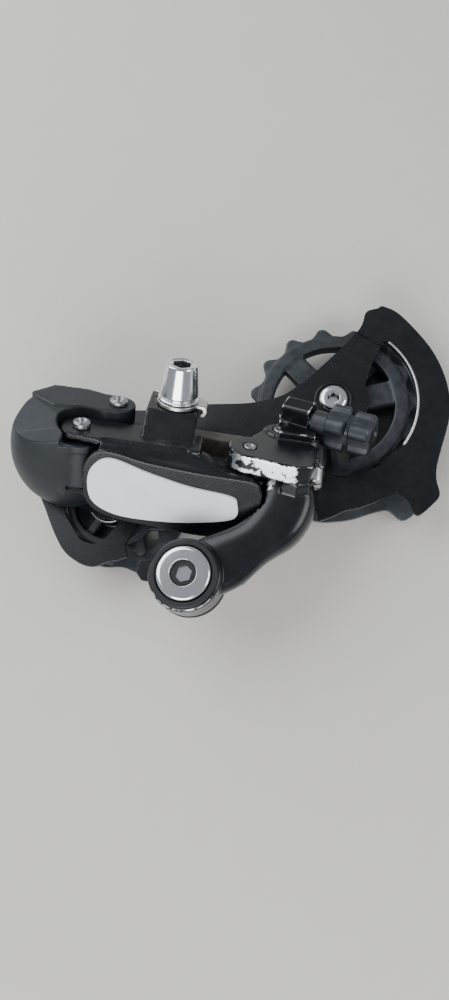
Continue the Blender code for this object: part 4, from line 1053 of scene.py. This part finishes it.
def sprocket_outline(pitch_r, teeth, tooth, turn):
    """Chain tooth form, with round roots and blunt round tips."""
    root_r, tip_r = pitch_r - tooth[0], pitch_r + tooth[1]
    flank_r = root_r + 0.45 * (tip_r - root_r)
    step = 360.0 / teeth
    form = [(root_r, -0.42), (root_r + 0.3, -0.34), (flank_r, -0.22), (tip_r - 0.6, -0.13),
            (tip_r - 0.1, -0.06), (tip_r, 0.0), (tip_r - 0.1, 0.06), (tip_r - 0.6, 0.13),
            (flank_r, 0.22), (root_r + 0.3, 0.34), (root_r, 0.42)]
    outline = [polar(radius, (i + share) * step + turn)
               for i in range(teeth) for radius, share in form]
    return smooth_loop(outline, 3)


def build_pulley(name, centre, teeth, tooth, turn, rim, spokes, spoke_half, first_spoke):
    """tooth is (root below, tip above) the pitch circle; rim is (inner, outer) radius."""
    here = at_row(*centre)
    pitch_r = 0.5 * CHAIN_PITCH / math.sin(math.pi / teeth)
    outline = sprocket_outline(pitch_r, teeth, tooth, turn)
    hub_r, share = 8.2, 360.0 / spokes
    at_rim = math.degrees(math.asin(spoke_half / rim[0]))
    at_hub = math.degrees(math.asin(spoke_half / hub_r))
    windows, ribs = [], []
    for i in range(spokes):
        here_on = first_spoke + share * i
        windows.append(arc((0.0, 0.0), rim[0], here_on + at_rim, here_on + share - at_rim, 24)
                       + arc((0.0, 0.0), hub_r, here_on + share - at_hub, here_on + at_hub, 12))
        ribs.append(box((6.0, 0.5 - spoke_half, -2.1), (rim[0] + 0.6, spoke_half - 0.5, 2.1),
                        here @ turn_by(here_on)))
    wheel = prism(outline, -1.1, 1.1, here, [circle((0.0, 0.0), BEARING_R), *windows])
    join(wheel, tube(rim[1], rim[0], -2.6, 2.6, here), *ribs)
    cut(wheel, rod(7.0, -4.0, 4.0, here))
    join(wheel, tube(hub_r, BEARING_R, -2.9, 2.9, here))
    stand_in(cast(wheel, 0.36, 4), name + "_pulley", "wheel_plastic")
    for side, low in (("outer", 3.25), ("inner", -4.0)):
        cap = turned(raised([(4.4, 0.75), (8.3, 0.75), (8.6, 0.45), (8.6, 0.0), (4.4, 0.0)], low),
                     here, closed=True)
        stand_in(rounded(cap, 0.1, 2), f"{name}_cap_{side}", "plate_paint")


def dress_hidden_pieces():
    """CAD nodes whose shape is right keep it and get their look."""
    for node in ("mount_bushing", "cage_axle", "cage_stop_pin", "guide_bushing", "tension_bushing"):
        dress(NODES[node].data, "zinc_steel")
    for node in ("bracket_spring", "retaining_clip", "cage_spring"):
        dress(NODES[node].data, "spring_wire")
    dress(NODES["cage_seal"].data, "black_rubber")


# ---------------------------------------------------------------- stage, lights, camera
def build_stage():
    floor_z = CAD_BOX[0].z - 0.0002
    shell = bmesh.new()
    bmesh.ops.create_grid(shell, x_segments=1, y_segments=1, size=1.5,
                          matrix=Matrix.Translation((0.0, 0.0, floor_z)))
    floor = from_bmesh("floor", shell)
    tree = Tree("pale_floor")
    grain = tree.noise(0.08, 3.0)
    tree.feed(tree.shader.inputs["Base Color"], tree.mix(grain, (0.66, 0.63, 0.59), (0.70, 0.67, 0.63)))
    tree.shader.inputs["Roughness"].default_value = 0.85
    floor.data.materials.append(tree.material)


def area_light(name, place, size, power, colour):
    """Soft lamp that faces the object's middle."""
    lamp = bpy.data.lights.new(name, "AREA")
    lamp.shape = "RECTANGLE"
    lamp.size, lamp.size_y = size
    lamp.energy = power
    lamp.color = colour
    holder = new_object(name, lamp)
    holder.location = place
    aim = Vector((0.0, 0.04, 0.0)) - Vector(place)
    holder.rotation_euler = aim.to_track_quat("-Z", "Y").to_euler()


def build_lights():
    area_light("window", (-0.42, 0.40, 0.46), (0.8, 0.7), 6.0, (0.93, 0.97, 1.0))
    area_light("front", (-0.12, -0.62, 0.42), (0.6, 0.4), 5.0, (0.98, 0.99, 1.0))
    area_light("side", (0.60, -0.05, 0.35), (0.4, 0.3), 1.6, (0.97, 0.98, 1.0))
    world = bpy.data.worlds.new("studio")
    world.use_nodes = True
    backdrop = world.node_tree.nodes["Background"]
    backdrop.inputs["Color"].default_value = (0.86, 0.92, 1.0, 1.0)
    backdrop.inputs["Strength"].default_value = 0.36
    bpy.context.scene.world = world


def build_camera():
    lens = bpy.data.cameras.new("camera")
    lens.lens = 27.0
    lens.sensor_width = 36.0
    lens.clip_start = 0.01
    back = Vector((0.1039, -0.2685, 0.9577)).normalized()
    right = Vector((0.0, 1.0, 0.0)).cross(back).normalized()
    place = axes_frame(Vector((40.2, -43.4, 260.6)), right, back)
    bpy.context.scene.camera = new_object("camera", lens, place)


build_camera()
build_stage()
build_lights()
build_mount()
build_bracket()
build_adjusters()
build_outer_link()
build_clamp()
build_inner_link()
build_pins()
build_knuckle()
build_cage_plates()
build_cage_hardware()
build_pulley("guide", GUIDE, 11, (3.9, 1.5), 8.0, (14.2, 17.4), 5, 2.0, 20.0)
build_pulley("tension", TENSION, 15, (1.4, 2.0), 0.0, (23.4, 28.6), 3, 5.0, 10.0)
dress_hidden_pieces()
